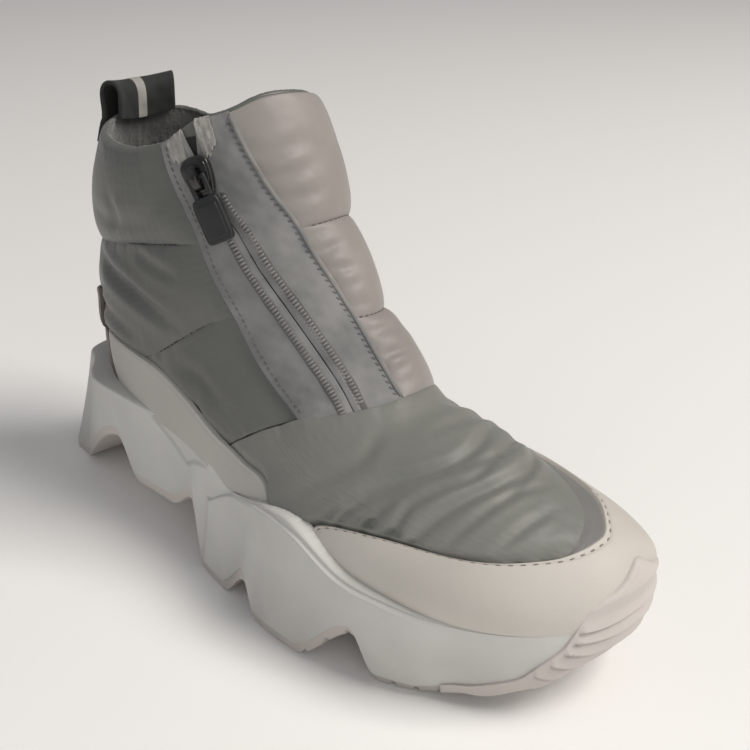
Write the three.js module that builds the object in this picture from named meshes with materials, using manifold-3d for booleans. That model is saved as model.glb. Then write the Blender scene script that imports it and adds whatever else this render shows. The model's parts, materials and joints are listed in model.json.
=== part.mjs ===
// A quilted sneaker boot for the right foot: padded upper with an offset front zip, on a scalloped foam sole.
// Millimetres, +X to the toe, +Y to the inner side of the foot, +Z up, standing on z = 0.
import * as THREE from "three";
import { mergeVertices } from "three/addons/utils/BufferGeometryUtils.js";
import Module from "manifold-3d";

const wasm = await Module();
wasm.setup();

// Driving sizes of the sole
const soleLength = 290;
const ballWidth = 99.5;
const treadThickness = 5;
const soleLip = 37;
const heelLift = 17;
const archClearance = 15;
const scallopDepth = 15;
const toeSpring = 16;
const footbedHeight = 27;
const insoleThickness = 4;
const heelKick = 17;
const toeInset = 3.5;
const frontStep = 1.4;
const bumperThickness = 2.8;
const bumperHeight = 58;
const ribDepth = 0.8;
const ribPitch = 5.2;
const ribWidth = 2.6;
const ribCount = 5;
const bumperLean = 0.35;

// Driving sizes of the upper
const upperLength = 290;
const footWidth = 92;
const featherHeight = 38;
const upperHeight = 145;
const wallThickness = 2.4;
const seamClearance = 0.35;
const capThickness = 1.5;
const randThickness = 1.6;
const clipThickness = 1.8;
const placketThickness = 1.1;
const quiltLoft = 3.2;
const baffleLoft = 4.2;
const baffleBase = 1.2;

// Driving sizes of the zip and the pull loop
const teethWidth = 5.2;
const teethHeight = 1.2;
const sliderLength = 15;
const sliderWidth = 11.5;
const sliderHeight = 3.4;
const bridgeWidth = 2.8;
const bridgeLength = 9;
const bridgeRise = 4.8;
const pullLength = 24;
const pullWidth = 11;
const pullThickness = 2.6;
const pullBarRadius = 0.9;
const sliderLevel = 13.75;
const sliderBase = seamClearance * 2 + teethHeight;
const loopWidth = 35;
const loopThickness = 1.6;
const loopRise = 11;
const loopLegDrop = 11;

const halfSole = soleLength / 2;
const halfUpper = upperLength / 2;
const degrees = Math.PI / 180;

// Sections of the upper, from the toe to the collar. Each lies in a plane across the foot that fans round the
// ankle, from its front point on the ridge of the foot to its back point under the foot or on the heel.
// Lengths along the foot are shares of half the upper's length, heights are shares of the upper's height above
// the feather line, and widths are shares of the foot's width. Fullness makes a section boxy, or slim below 0.
const sections = [
  { frontX: 0.966, frontZ: 0.069, backX: 0.966, backZ: 0.028, outer: 0.011, inner: 0.011, widest: 0.5, top: 0, base: 0, shift: 0.065 },
  { frontX: 0.959, frontZ: 0.11, backX: 0.952, backZ: -0.034, outer: 0.185, inner: 0.163, widest: 0.5, top: 0.07, base: 0.14, shift: 0.054 },
  { frontX: 0.924, frontZ: 0.152, backX: 0.903, backZ: -0.083, outer: 0.304, inner: 0.261, widest: 0.45, top: 0, base: 0.22, shift: 0.043 },
  { frontX: 0.834, frontZ: 0.193, backX: 0.814, backZ: -0.103, outer: 0.413, inner: 0.348, widest: 0.42, top: -0.03, base: 0.22, shift: 0.022 },
  { frontX: 0.717, frontZ: 0.228, backX: 0.683, backZ: -0.11, outer: 0.489, inner: 0.413, widest: 0.4, top: -0.07, base: 0.22, shift: 0 },
  { frontX: 0.579, frontZ: 0.255, backX: 0.524, backZ: -0.117, outer: 0.533, inner: 0.457, widest: 0.38, top: -0.1, base: 0.22, shift: 0 },
  { frontX: 0.434, frontZ: 0.283, backX: 0.31, backZ: -0.117, outer: 0.543, inner: 0.457, widest: 0.36, top: -0.1, base: 0.22, shift: 0 },
  { frontX: 0.317, frontZ: 0.31, backX: 0, backZ: -0.117, outer: 0.511, inner: 0.435, widest: 0.36, top: -0.07, base: 0.18, shift: 0 },
  { frontX: 0.234, frontZ: 0.386, backX: -0.31, backZ: -0.11, outer: 0.457, inner: 0.413, widest: 0.38, top: -0.03, base: 0.14, shift: 0 },
  { frontX: 0.159, frontZ: 0.476, backX: -0.648, backZ: -0.055, outer: 0.424, inner: 0.391, widest: 0.42, top: 0, base: 0.1, shift: 0 },
  { frontX: 0.097, frontZ: 0.559, backX: -0.807, backZ: 0.076, outer: 0.402, inner: 0.38, widest: 0.48, top: 0, base: 0.07, shift: 0 },
  { frontX: 0.041, frontZ: 0.641, backX: -0.834, backZ: 0.262, outer: 0.397, inner: 0.38, widest: 0.5, top: 0, base: 0.03, shift: 0 },
  { frontX: 0.007, frontZ: 0.717, backX: -0.814, backZ: 0.455, outer: 0.391, inner: 0.38, widest: 0.5, top: 0, base: 0, shift: 0 },
  { frontX: -0.028, frontZ: 0.786, backX: -0.814, backZ: 0.559, outer: 0.391, inner: 0.38, widest: 0.5, top: 0, base: 0, shift: 0 },
  { frontX: -0.069, frontZ: 0.883, backX: -0.793, backZ: 0.669, outer: 0.391, inner: 0.38, widest: 0.5, top: 0, base: 0, shift: 0 },
  { frontX: -0.11, frontZ: 1, backX: -0.759, backZ: 0.772, outer: 0.38, inner: 0.37, widest: 0.5, top: 0, base: 0, shift: 0 },
  { frontX: -0.145, frontZ: 1.103, backX: -0.738, backZ: 0.876, outer: 0.38, inner: 0.37, widest: 0.5, top: 0, base: 0, shift: 0 },
];

// Lines over the upper. An angle is 0 on the ridge or shin, -90 on the outer side, 90 on the inner side and 180
// at the heel. A level counts the sections above, from 0 at the toe.
const vampSeam = [
  { angle: -180, level: 8.3 }, { angle: -100, level: 8.2 }, { angle: -66, level: 8.07 }, { angle: -48, level: 7.85 },
  { angle: -34, level: 7.5 }, { angle: -7, level: 7.1 }, { angle: 26, level: 7.12 }, { angle: 43, level: 7.35 },
  { angle: 63, level: 7.68 }, { angle: 80, level: 7.85 }, { angle: 120, level: 8.1 }, { angle: 180, level: 8.3 },
];
const lowQuilt = [
  { angle: -180, level: 10.3 }, { angle: -94, level: 9.95 }, { angle: -54, level: 10.15 }, { angle: -8, level: 9.15 },
  { angle: 26, level: 9.15 }, { angle: 50, level: 9.5 }, { angle: 78, level: 9.75 }, { angle: 180, level: 10.3 },
];
const highQuilt = [
  { angle: -180, level: 12.5 }, { angle: -100, level: 12.2 }, { angle: -65, level: 11.95 }, { angle: -18, level: 11.8 },
  { angle: 23, level: 11.75 }, { angle: 60, level: 11.45 }, { angle: 90, level: 11.6 }, { angle: 180, level: 12.5 },
];
const collarLine = [
  { angle: -180, level: 15.85 }, { angle: -145, level: 15.45 }, { angle: -101, level: 14.7 }, { angle: -74, level: 14.55 },
  { angle: -54, level: 14.85 }, { angle: -38, level: 14.9 }, { angle: -18, level: 15.05 }, { angle: 6, level: 15 },
  { angle: 30, level: 14.87 }, { angle: 50, level: 14.65 }, { angle: 60, level: 14.2 }, { angle: 70, level: 13.55 },
  { angle: 84, level: 13.75 }, { angle: 98, level: 14.2 }, { angle: 140, level: 15.4 }, { angle: 180, level: 15.85 },
];
const placketOuterEdge = [
  { level: 7, angle: -47 }, { level: 8.8, angle: -50 }, { level: 10.2, angle: -54 }, { level: 11.7, angle: -61 },
  { level: 12.9, angle: -64 }, { level: 14.2, angle: -70 }, { level: 16, angle: -76 },
];
const placketInnerEdge = [
  { level: 7, angle: -6 }, { level: 9.15, angle: -8 }, { level: 11.75, angle: -18 }, { level: 13.9, angle: -31 },
  { level: 14.8, angle: -37 }, { level: 16, angle: -44 },
];
const zipLine = [
  { level: 7, angle: -29 }, { level: 8, angle: -28 }, { level: 9, angle: -30 }, { level: 10.3, angle: -36 },
  { level: 12, angle: -45 }, { level: 12.75, angle: -49 }, { level: 13.9, angle: -54 }, { level: 16, angle: -62 },
];
const baffleInnerEdge = [
  { level: 7, angle: 43 }, { level: 8, angle: 42 }, { level: 9.25, angle: 46 }, { level: 10.95, angle: 54 },
  { level: 12.7, angle: 66 }, { level: 13.5, angle: 70 }, { level: 16, angle: 78 },
];

// Toe cap: its top edge, as levels round the foot. It runs back along both sides and is highest over the toe.
const capTop = [
  { angle: -180, level: 6.38 }, { angle: -84, level: 6.38 }, { angle: -74, level: 6.25 }, { angle: -64, level: 5.4 },
  { angle: -56, level: 4.12 }, { angle: -48, level: 3.4 }, { angle: -34, level: 2.75 }, { angle: -10, level: 2.48 },
  { angle: 4, level: 2.6 }, { angle: 21, level: 3 }, { angle: 40, level: 3.2 }, { angle: 52, level: 3.6 },
  { angle: 58, level: 4.4 }, { angle: 66, level: 5.9 }, { angle: 80, level: 6.3 }, { angle: 180, level: 6.38 },
];

// Heel rand: heights of its edges along the foot, as a share of half the upper's length and heights above the
// feather line as shares of the upper's height.
const randBand = [
  { along: -0.9, low: 0.1, high: 0.265 }, { along: -0.72, low: 0.115, high: 0.268 }, { along: -0.5, low: 0.117, high: 0.262 },
  { along: -0.39, low: 0.119, high: 0.255 }, { along: -0.27, low: 0.115, high: 0.22 }, { along: -0.12, low: 0.08, high: 0.155 },
  { along: 0.0, low: 0.03, high: 0.125 }, { along: 0.1, low: 0.02, high: 0.105 }, { along: 0.138, low: 0.02, high: 0.04 },
];
const randBackAngle = 128;

// Outline of the sole as seen from above, half widths as shares of the ball width, along shares of half its length.
const soleOutline = [
  { along: -1, outer: 0.235, inner: 0.225 }, { along: -0.93, outer: 0.235, inner: 0.225 }, { along: -0.8, outer: 0.315, inner: 0.3 },
  { along: -0.7, outer: 0.355, inner: 0.33 }, { along: -0.5, outer: 0.38, inner: 0.325 },
  { along: -0.25, outer: 0.4, inner: 0.315 }, { along: 0, outer: 0.458, inner: 0.365 }, { along: 0.2, outer: 0.522, inner: 0.43 },
  { along: 0.38, outer: 0.543, inner: 0.47 }, { along: 0.55, outer: 0.52, inner: 0.46 }, { along: 0.72, outer: 0.483, inner: 0.415 },
  { along: 0.86, outer: 0.448, inner: 0.385 }, { along: 1, outer: 0.44, inner: 0.37 },
];
const heelSquareness = 50;
const toeSquareness = 7;
const toeShift = 0.05;

// How far the sole's wall stands out at its foot and at its lip, in millimetres, along shares of half its length.
const wallFlare = [
  { along: -1, foot: 4, lip: 0 }, { along: -0.93, foot: 0.5, lip: 1 }, { along: -0.8, foot: 0.5, lip: 2.5 }, { along: -0.35, foot: 1, lip: 0 },
  { along: -0.05, foot: 6, lip: 0 }, { along: 0.3, foot: 4.5, lip: 0 }, { along: 0.5, foot: -2, lip: 0 },
  { along: 0.72, foot: -6.5, lip: 0 }, { along: 0.86, foot: -5, lip: 0 }, { along: 1, foot: -9, lip: 0 },
];

// Height of the sole's lip: lift is a share of the heel lift above the sole lip.
const lipLine = [
  { along: -1, lift: 1.15 }, { along: -0.75, lift: 1.06 }, { along: -0.46, lift: 1.03 }, { along: -0.28, lift: 0.95 },
  { along: -0.14, lift: 0.65 }, { along: -0.04, lift: 0.35 }, { along: 0.04, lift: 0.44 }, { along: 0.12, lift: 0.64 },
  { along: 0.22, lift: 0.78 }, { along: 0.29, lift: 0.66 }, { along: 0.42, lift: 0.2 }, { along: 0.54, lift: 0.06 },
  { along: 0.7, lift: -0.04 }, { along: 1, lift: 0.05 },
];

// Crests and feet of the scallops under the sole's edge, in turn from the heel to the toe. Rise is a share of the
// scallop depth, lift a share of the arch clearance and spring a share of the toe spring.
const scallops = [
  { along: -1, rise: 0.2, lift: 0, spring: 0 }, { along: -0.98, rise: 0, lift: 0, spring: 0 },
  { along: -0.93, rise: 0, lift: 0, spring: 0 }, { along: -0.6, rise: 1.35, lift: 0.75, spring: 0 },
  { along: -0.505, rise: 0, lift: 1, spring: 0 }, { along: -0.34, rise: 0, lift: 1.05, spring: 0 },
  { along: -0.21, rise: 1.05, lift: 0.75, spring: 0 }, { along: -0.15, rise: 0, lift: 0, spring: 0 },
  { along: -0.03, rise: 0, lift: 0, spring: 0 }, { along: 0.085, rise: 0.9, lift: 0, spring: 0 },
  { along: 0.14, rise: 0, lift: 0, spring: 0 }, { along: 0.29, rise: 0, lift: 0, spring: 0 },
  { along: 0.45, rise: 1.12, lift: 0, spring: 0 }, { along: 0.52, rise: 0, lift: 0, spring: 0 },
  { along: 0.6, rise: 0, lift: 0, spring: 0 }, { along: 0.75, rise: 0, lift: 0, spring: 0.28 },
  { along: 0.88, rise: 0, lift: 0, spring: 0.68 }, { along: 1, rise: 0, lift: 0, spring: 1 },
];
const scallopFadeInside = 0.45;

// Footbed: height steps from the forefoot to the heel, as shares of the heel lift above the footbed height.
const footbed = [
  { along: -1, lift: 1 }, { along: -0.5, lift: 1 }, { along: -0.25, lift: 0.72 }, { along: 0.05, lift: 0.15 },
  { along: 0.25, lift: 0 }, { along: 0.75, lift: 0 }, { along: 1, lift: 0.15 },
];

// Rear and top border of the midsole's thicker front part, in shares of half the sole's length and millimetres.
const frontBorder = [
  { along: -0.124, height: 32 }, { along: -0.076, height: 37 }, { along: -0.028, height: 41 }, { along: 0.034, height: 44 },
  { along: 0.12, height: 46.5 }, { along: 0.2, height: 47.5 }, { along: 0.28, height: 46 }, { along: 0.42, height: 38 },
  { along: 0.54, height: 36 }, { along: 0.7, height: 34.5 }, { along: 0.9, height: 35.5 },
];

// Outsole wall: its top edge above the tread along the sole, as shares of the bumper height.
const bumperEdge = [
  { along: 0.68, height: 0.13 }, { along: 0.73, height: 0.17 }, { along: 0.8, height: 0.26 }, { along: 0.86, height: 0.38 },
  { along: 0.895, height: 0.53 }, { along: 0.915, height: 0.68 }, { along: 0.935, height: 0.77 }, { along: 0.96, height: 0.85 },
  { along: 1, height: 0.96 },
];

// A value of a column from a table of rows, on a smooth curve through the rows.
function follow(table, by, column, at) {
  const last = table.length - 1;
  let k = 0;
  while (k < last - 1 && at > table[k + 1][by]) k += 1;
  const span = table[k + 1][by] - table[k][by];
  const t = THREE.MathUtils.clamp((at - table[k][by]) / span, 0, 1);
  const slope = (i) => {
    const before = table[Math.max(i - 1, 0)];
    const after = table[Math.min(i + 1, last)];
    return (after[column] - before[column]) / (after[by] - before[by]);
  };
  const a = table[k][column];
  const b = table[k + 1][column];
  const t2 = t * t;
  const t3 = t2 * t;
  return (
    a * (2 * t3 - 3 * t2 + 1) + b * (3 * t2 - 2 * t3) + slope(k) * span * (t3 - 2 * t2 + t) + slope(k + 1) * span * (t3 - t2)
  );
}

// The same, with every row a crest or a foot where the curve is level.
function ease(table, by, column, at) {
  const last = table.length - 1;
  let k = 0;
  while (k < last - 1 && at > table[k + 1][by]) k += 1;
  const t = THREE.MathUtils.clamp((at - table[k][by]) / (table[k + 1][by] - table[k][by]), 0, 1);
  return table[k][column] + (table[k + 1][column] - table[k][column]) * t * t * (3 - 2 * t);
}

// A column of the upper's sections at a level between them.
function sectionValue(column, level) {
  const last = sections.length - 1;
  const k = Math.min(Math.floor(THREE.MathUtils.clamp(level, 0, last)), last - 1);
  const t = THREE.MathUtils.clamp(level - k, 0, 1);
  const at = (i) => sections[THREE.MathUtils.clamp(i, 0, last)][column];
  const [p0, p1, p2, p3] = [at(k - 1), at(k), at(k + 1), at(k + 2)];
  return 0.5 * (2 * p1 + (p2 - p0) * t + (2 * p0 - 5 * p1 + 4 * p2 - p3) * t * t + (3 * p1 - p0 - 3 * p2 + p3) * t ** 3);
}

// A point of the upper's plain skin, without quilting.
function skin(level, angle) {
  const value = (column) => sectionValue(column, level);
  const cos = Math.cos(angle);
  const sin = Math.sin(angle);
  const widest = value("widest");
  const fullness = value(cos > 0 ? "top" : "base");
  const reach = (cos > 0 ? 1 - widest : widest) * cos * (1 + fullness * sin * sin);
  const share = widest + reach;
  const halfWidth = footWidth * value(sin > 0 ? "inner" : "outer");
  return new THREE.Vector3(
    halfUpper * (value("backX") + (value("frontX") - value("backX")) * share),
    footWidth * value("shift") + halfWidth * sin * (1 + fullness * cos * cos),
    featherHeight + upperHeight * (value("backZ") + (value("frontZ") - value("backZ")) * share),
  );
}

// The skin's outward normal.
function skinNormal(level, angle) {
  const l = THREE.MathUtils.clamp(level, 0.2, sections.length - 1.05);
  const step = 0.04;
  const along = skin(l + step, angle).sub(skin(l - step, angle));
  const across = skin(l, angle + step).sub(skin(l, angle - step));
  const normal = across.cross(along).normalize();
  return level < 0.2 ? normal.lerp(new THREE.Vector3(1, 0, 0), 1 - level / 0.2).normalize() : normal;
}

const lineAt = (line, angle) => follow(line, "angle", "level", angle / degrees);
const edgeAt = (edge, level) => follow(edge, "level", "angle", level) * degrees;

// A pillow that is 0 on both edges of a quilted bay and 1 over most of it.
const pillow = (share) => Math.pow(Math.max(0, 4 * share * (1 - share)), 0.6);

// Height of the quilting over the plain skin. It is flat under the front panels and lower under the overlays.
function quilting(level, angle) {
  const seams = [lineAt(capTop, angle), lineAt(vampSeam, angle), lineAt(lowQuilt, angle), lineAt(highQuilt, angle)];
  seams.push(lineAt(collarLine, angle));
  const lofts = [0.35, 0.45, 0.75, 1];
  if (level <= seams[0]) return -seamClearance - capThickness;
  const front = edgeAt(placketOuterEdge, Math.max(level, 7));
  const back = edgeAt(baffleInnerEdge, Math.max(level, 7));
  const outside = Math.max(front - angle, angle - back) / (14 * degrees);
  const sideways = level < seams[1] ? 1 : THREE.MathUtils.smoothstep(outside, 0, 1);
  let bay = 0;
  while (bay < 3 && level > seams[bay + 1]) bay += 1;
  const share = THREE.MathUtils.clamp((level - seams[bay]) / (seams[bay + 1] - seams[bay]), 0, 1);
  const edge = bay === 0 ? -(seamClearance + capThickness) * (1 - THREE.MathUtils.smoothstep(share, 0, 0.12)) : 0;
  return (quiltLoft * lofts[bay] * pillow(share) * sideways + edge) * (1 - randStep(level, angle)) +
    -(seamClearance + randThickness) * randStep(level, angle);
}

// How far a point of the skin lies under the heel rand, from 0 just above its top edge to 1 below it.
function randStep(level, angle) {
  if (Math.abs(angle) < 70 * degrees || level < 6.6) return 0;
  const point = skin(level, angle);
  const along = THREE.MathUtils.clamp(point.x / halfUpper, randBand[0].along, 0.138);
  const top = featherHeight + upperHeight * follow(randBand, "along", "high", along);
  return 1 - THREE.MathUtils.smoothstep(point.z, top - 2, top + 5);
}

// A point of the upper at a height above its quilted outside.
function shell(level, angle, height) {
  const lift = height + quilting(level, angle);
  return skin(level, angle).addScaledVector(skinNormal(level, angle), lift);
}

// A closed solid from rings of points. Each end is closed by a fan, or for a sole's rings by a strip that joins
// its two sides. Quads for which crossed holds are split along their other diagonal.
function loft(rings, strip = false, crossed = () => false) {
  const count = rings[0].length;
  const points = rings.flat();
  const faces = [];
  for (let r = 0; r < rings.length - 1; r += 1) {
    for (let c = 0; c < count; c += 1) {
      const a = r * count + c;
      const b = r * count + ((c + 1) % count);
      if (crossed(r, c)) faces.push([a, b, a + count], [b, b + count, a + count]);
      else faces.push([a, b, b + count], [a, b + count, a + count]);
    }
  }
  const addCap = (start, ring, flip) => {
    if (strip) {
      for (let c = 0; c < count / 2; c += 1) {
        const a = start + c;
        const b = a + 1;
        const [across, next] = [start + ((count - c) % count), start + count - c - 1];
        const pair = flip ? [[b, a, across], [next, b, across]] : [[a, b, across], [b, next, across]];
        faces.push(...pair.filter(([p, q, r]) => p !== q && q !== r && r !== p));
      }
      return;
    }
    const centre = points.length;
    points.push(ring.reduce((sum, p) => sum.add(p), new THREE.Vector3()).divideScalar(count));
    for (let c = 0; c < count; c += 1) {
      const a = start + c;
      const b = start + ((c + 1) % count);
      faces.push(flip ? [b, a, centre] : [a, b, centre]);
    }
  };
  addCap(0, rings[0], true);
  addCap((rings.length - 1) * count, rings[rings.length - 1], false);
  return solidFromFaces(points, faces);
}

// A closed solid between two sheets of points with the same rows and columns, the low one and the high one.
function sheetSolid(low, high, crossed = () => false) {
  const rows = low.length;
  const columns = low[0].length;
  const points = [...low.flat(), ...high.flat()];
  const faces = [];
  const id = (sheet, r, c) => sheet * rows * columns + r * columns + c;
  const quad = (a, b, c, d) => faces.push([a, b, c], [a, c, d]);
  for (let r = 0; r < rows - 1; r += 1) {
    for (let c = 0; c < columns - 1; c += 1) {
      if (crossed(c)) {
        quad(id(1, r, c + 1), id(1, r + 1, c + 1), id(1, r + 1, c), id(1, r, c));
        quad(id(0, r, c + 1), id(0, r, c), id(0, r + 1, c), id(0, r + 1, c + 1));
      } else {
        quad(id(1, r, c), id(1, r, c + 1), id(1, r + 1, c + 1), id(1, r + 1, c));
        quad(id(0, r, c), id(0, r + 1, c), id(0, r + 1, c + 1), id(0, r, c + 1));
      }
    }
    quad(id(0, r, 0), id(1, r, 0), id(1, r + 1, 0), id(0, r + 1, 0));
    quad(id(0, r, columns - 1), id(0, r + 1, columns - 1), id(1, r + 1, columns - 1), id(1, r, columns - 1));
  }
  for (let c = 0; c < columns - 1; c += 1) {
    quad(id(0, 0, c), id(0, 0, c + 1), id(1, 0, c + 1), id(1, 0, c));
    quad(id(0, rows - 1, c), id(1, rows - 1, c), id(1, rows - 1, c + 1), id(0, rows - 1, c + 1));
  }
  return solidFromFaces(points, faces);
}

// A manifold solid from points and triangles, turned to face outwards.
function solidFromFaces(points, faces) {
  const make = (turned) =>
    new wasm.Manifold(
      new wasm.Mesh({
        numProp: 3,
        vertProperties: new Float32Array(points.flatMap((p) => [p.x, p.y, p.z])),
        triVerts: new Uint32Array(faces.flatMap(([a, b, c]) => (turned ? [a, c, b] : [a, b, c]))),
      }),
    );
  const solid = make(false);
  return solid.volume() > 0 ? solid : make(true);
}

// A manifold solid from a three.js geometry.
function solidFromGeometry(geometry) {
  const bare = geometry.clone();
  bare.deleteAttribute("normal");
  bare.deleteAttribute("uv");
  const merged = mergeVertices(bare, 1e-4);
  return new wasm.Manifold(
    new wasm.Mesh({
      numProp: 3,
      vertProperties: new Float32Array(merged.attributes.position.array),
      triVerts: new Uint32Array(merged.index.array),
    }),
  );
}

// A prism across the foot from an outline of [x, z] points.
function crossPrism(outline, from, to) {
  const shape = new THREE.Shape(outline.map(([x, z]) => new THREE.Vector2(x, z)));
  const geometry = new THREE.ExtrudeGeometry(shape, { depth: to - from, bevelEnabled: false });
  geometry.rotateX(Math.PI / 2);
  geometry.translate(0, to, 0);
  return solidFromGeometry(geometry);
}

// Rings of the upper: shares of the way to the toe cap's edge, and then shares of each quilted bay.
const upperAngles = [
  -180, -164, -148, -132, -118, -105, -93, -82, -72, -63, -54, -44, -33, -21, -9, 3, 15, 26, 36, 45, 53, 61, 69, 78, 88, 100,
  114, 130, 146, 163,
];
const liningAngles = upperAngles.filter((_, i) => i % 4 !== 3);
const capShares = [0.01, 0.14, 0.32, 0.52, 0.76, 0.99];
const bayShares = [0.04, 0.18, 0.5, 0.82, 0.96];
const plainShares = [0.03, 0.5];

// The level of a place along the upper at an angle. The rings follow the seams and end on the collar line.
function ringLevels(angle, shares) {
  const seams = [capTop, vampSeam, lowQuilt, highQuilt, collarLine].map((line) => lineAt(line, angle));
  const levels = capShares.map((share) => seams[0] * share);
  for (let bay = 0; bay < 4; bay += 1) {
    for (const share of shares) levels.push(THREE.MathUtils.lerp(seams[bay], seams[bay + 1], share));
  }
  levels.push(seams[4]);
  return levels;
}

// The upper's filled form at a height over its outside, carried on above the collar by an extra height.
function upperForm(height, extra) {
  return ringForm(upperAngles, bayShares, extra, (level, angle) => shell(level, angle, height));
}

// The plain form inside the upper's wall, without quilting.
function liningForm(depth, extra) {
  return ringForm(liningAngles, plainShares, extra, (level, angle) => {
    const rebate = seamClearance + capThickness;
    const toe = rebate * (2 - THREE.MathUtils.smoothstep(level, 5.5, 7.5) - THREE.MathUtils.smoothstep(level, 2, 4));
    return skin(level, angle).addScaledVector(skinNormal(level, angle), -depth - toe);
  });
}

// A closed form of rings over the levels of the upper.
function ringForm(angles, shares, extra, place) {
  const spokes = [];
  for (const turn of angles) {
    const angle = turn * degrees;
    const spoke = ringLevels(angle, shares).map((level) => place(level, angle));
    if (extra > 0) spoke.push(spoke[spoke.length - 1].clone().add(new THREE.Vector3(0, 0, extra)));
    spokes.push(spoke);
  }
  return loft(spokes[0].map((_, r) => spokes.map((spoke) => spoke[r])), false, (r, c) => angles[c] > 0);
}

// The toe cap: a shell over the toe whose rings lie on those of the upper.
function makeToeCap() {
  const angles = upperAngles.filter((turn) => Math.abs(turn) < 120);
  const sheet = (height) =>
    capShares.map((share) => angles.map((turn) => shell(lineAt(capTop, turn * degrees) * share, turn * degrees, height)));
  return sheetSolid(sheet(seamClearance), sheet(seamClearance + capThickness), (c) => angles[c] > 0);
}

// A thick block of the space round the upper, between two levels and two angles, for cutting panels.
function panelRegion(levelFrom, levelTo, edgeFrom, edgeTo, rows, columns, depth, reach) {
  const sheet = (height) => {
    const grid = [];
    for (let r = 0; r <= rows; r += 1) {
      const line = [];
      for (let c = 0; c <= columns; c += 1) {
        const share = r / rows;
        let level = THREE.MathUtils.lerp(levelFrom(0), levelTo(0), share);
        let angle = THREE.MathUtils.lerp(edgeFrom(level), edgeTo(level), c / columns);
        level = THREE.MathUtils.lerp(levelFrom(angle), levelTo(angle), share);
        angle = THREE.MathUtils.lerp(edgeFrom(level), edgeTo(level), c / columns);
        line.push(skin(level, angle).addScaledVector(skinNormal(level, angle), height));
      }
      grid.push(line);
    }
    return grid;
  };
  return sheetSolid(sheet(-depth), sheet(reach));
}

// The sole's outline from above, closed at the heel and the toe: the half width on one side.
function soleHalfWidth(side, along) {
  const width = ballWidth * follow(soleOutline, "along", side, along);
  const squareness = along < 0 ? heelSquareness : toeSquareness;
  return width * Math.pow(Math.max(0, 1 - Math.abs(along) ** squareness), 0.5);
}

// A point of the outline at a station, moved outwards by a distance. Share is its height up the wall.
function outlinePoint(side, along, out, share) {
  const sign = side === "outer" ? -1 : 1;
  const place = (a) => {
    const kick = heelKick * share * THREE.MathUtils.smoothstep(-a, 0.6, 0.95);
    const tuck = toeInset * THREE.MathUtils.smoothstep(a, 0.8, 1);
    const shift = toeShift * ballWidth * THREE.MathUtils.smoothstep(a, 0.5, 1);
    return new THREE.Vector2(halfSole * a + kick - tuck, shift + sign * soleHalfWidth(side, a));
  };
  const step = 0.004;
  const point = place(along);
  const tip = Math.abs(along) > 0.9995;
  if (tip) return new THREE.Vector2(point.x + Math.sign(along) * out, point.y);
  const tangent = place(Math.min(along + step, 1)).sub(place(Math.max(along - step, -1))).normalize();
  return new THREE.Vector2(point.x + sign * -tangent.y * out, point.y + sign * tangent.x * out);
}

// Height of the tread under the sole's edge, or further in, where the scallops are shallower.
function treadHeight(along, inward) {
  const keep = 1 - scallopFadeInside * inward;
  const rise = ease(scallops, "along", "rise", along) * scallopDepth * keep;
  const lift = ease(scallops, "along", "lift", along) * archClearance * keep;
  return rise + lift + ease(scallops, "along", "spring", along) * toeSpring;
}

const lipHeight = (along) => soleLip + heelLift * follow(lipLine, "along", "lift", along);
const footbedAt = (along) => footbedHeight + heelLift * follow(footbed, "along", "lift", along);

// Stations along the sole: the feet and crests of the scallops, with steps between them.
function soleStations() {
  const stations = [-1, -0.997, 0.94, 0.97, 0.99, 0.998, 1];
  for (let k = 1; k < scallops.length - 1; k += 1) {
    const gap = scallops[k + 1].along - scallops[k].along;
    const steps = Math.abs(scallops[k].rise - scallops[k + 1].rise) > 0.5 ? 3 : gap > 0.14 ? 2 : 1;
    for (let i = 0; i < steps; i += 1) stations.push(scallops[k].along + (gap * i) / steps);
  }
  return stations.sort((a, b) => a - b);
}

// A solid of the sole's outline, built of rings round its edge. Each row gives a ring: how far inwards it lies,
// as a share, and its height and outward step at a station.
function soleSolid(rows, crossed = 0) {
  const stations = soleStations();
  const rim = [
    ...stations.map((along) => ["outer", along]),
    ...stations.slice(1, -1).reverse().map((along) => ["inner", along]),
  ];
  const rings = rows.map(({ inward, height, out, base }) =>
    rim.map(([side, along]) => {
      const rise = (base ?? height)(along, 0);
      const edge = outlinePoint(side, along, out(along), heightShare(along, rise));
      const spineX = THREE.MathUtils.clamp(edge.x, -halfSole * 0.93, halfSole * 0.7);
      const spineY = 0.02 * ballWidth;
      const x = THREE.MathUtils.lerp(edge.x, spineX, inward);
      const y = THREE.MathUtils.lerp(edge.y, spineY, inward);
      const at = inward > 0 ? THREE.MathUtils.clamp(x / halfSole, -1, 1) : along;
      return new THREE.Vector3(x, y, height(at, inward));
    }),
  );
  return loft(rings, true, (r) => r < crossed);
}

// How far the wall of the sole stands out at a share of its height.
function wallOut(along, share) {
  const foot = follow(wallFlare, "along", "foot", along);
  const lip = follow(wallFlare, "along", "lip", along);
  return foot * (1 - share) ** 2 + lip * share ** 2;
}

const heightShare = (along, z) =>
  THREE.MathUtils.clamp((z - treadHeight(along, 0)) / (lipHeight(along) - treadHeight(along, 0)), 0, 1);

// The whole block of the sole, from a height over the tread up to the lip.
function soleBlock(below, above, out) {
  const wallShares = [0, 0.35, 0.7, 1];
  const bottom = (along, inward) => treadHeight(along, inward) + below;
  const top = (along) => lipHeight(along) + above;
  const wall = wallShares.map((share) => {
    const height = (along) => THREE.MathUtils.lerp(bottom(along, 0), top(along), share);
    return { inward: 0, height, out: (along) => wallOut(along, heightShare(along, height(along))) + out(along) };
  });
  const foot = (inward) => ({ inward, height: bottom, out: wall[0].out });
  return soleSolid([foot(0.8), ...wall, { inward: 0.8, height: top, out: wall[3].out }]);
}

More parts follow.
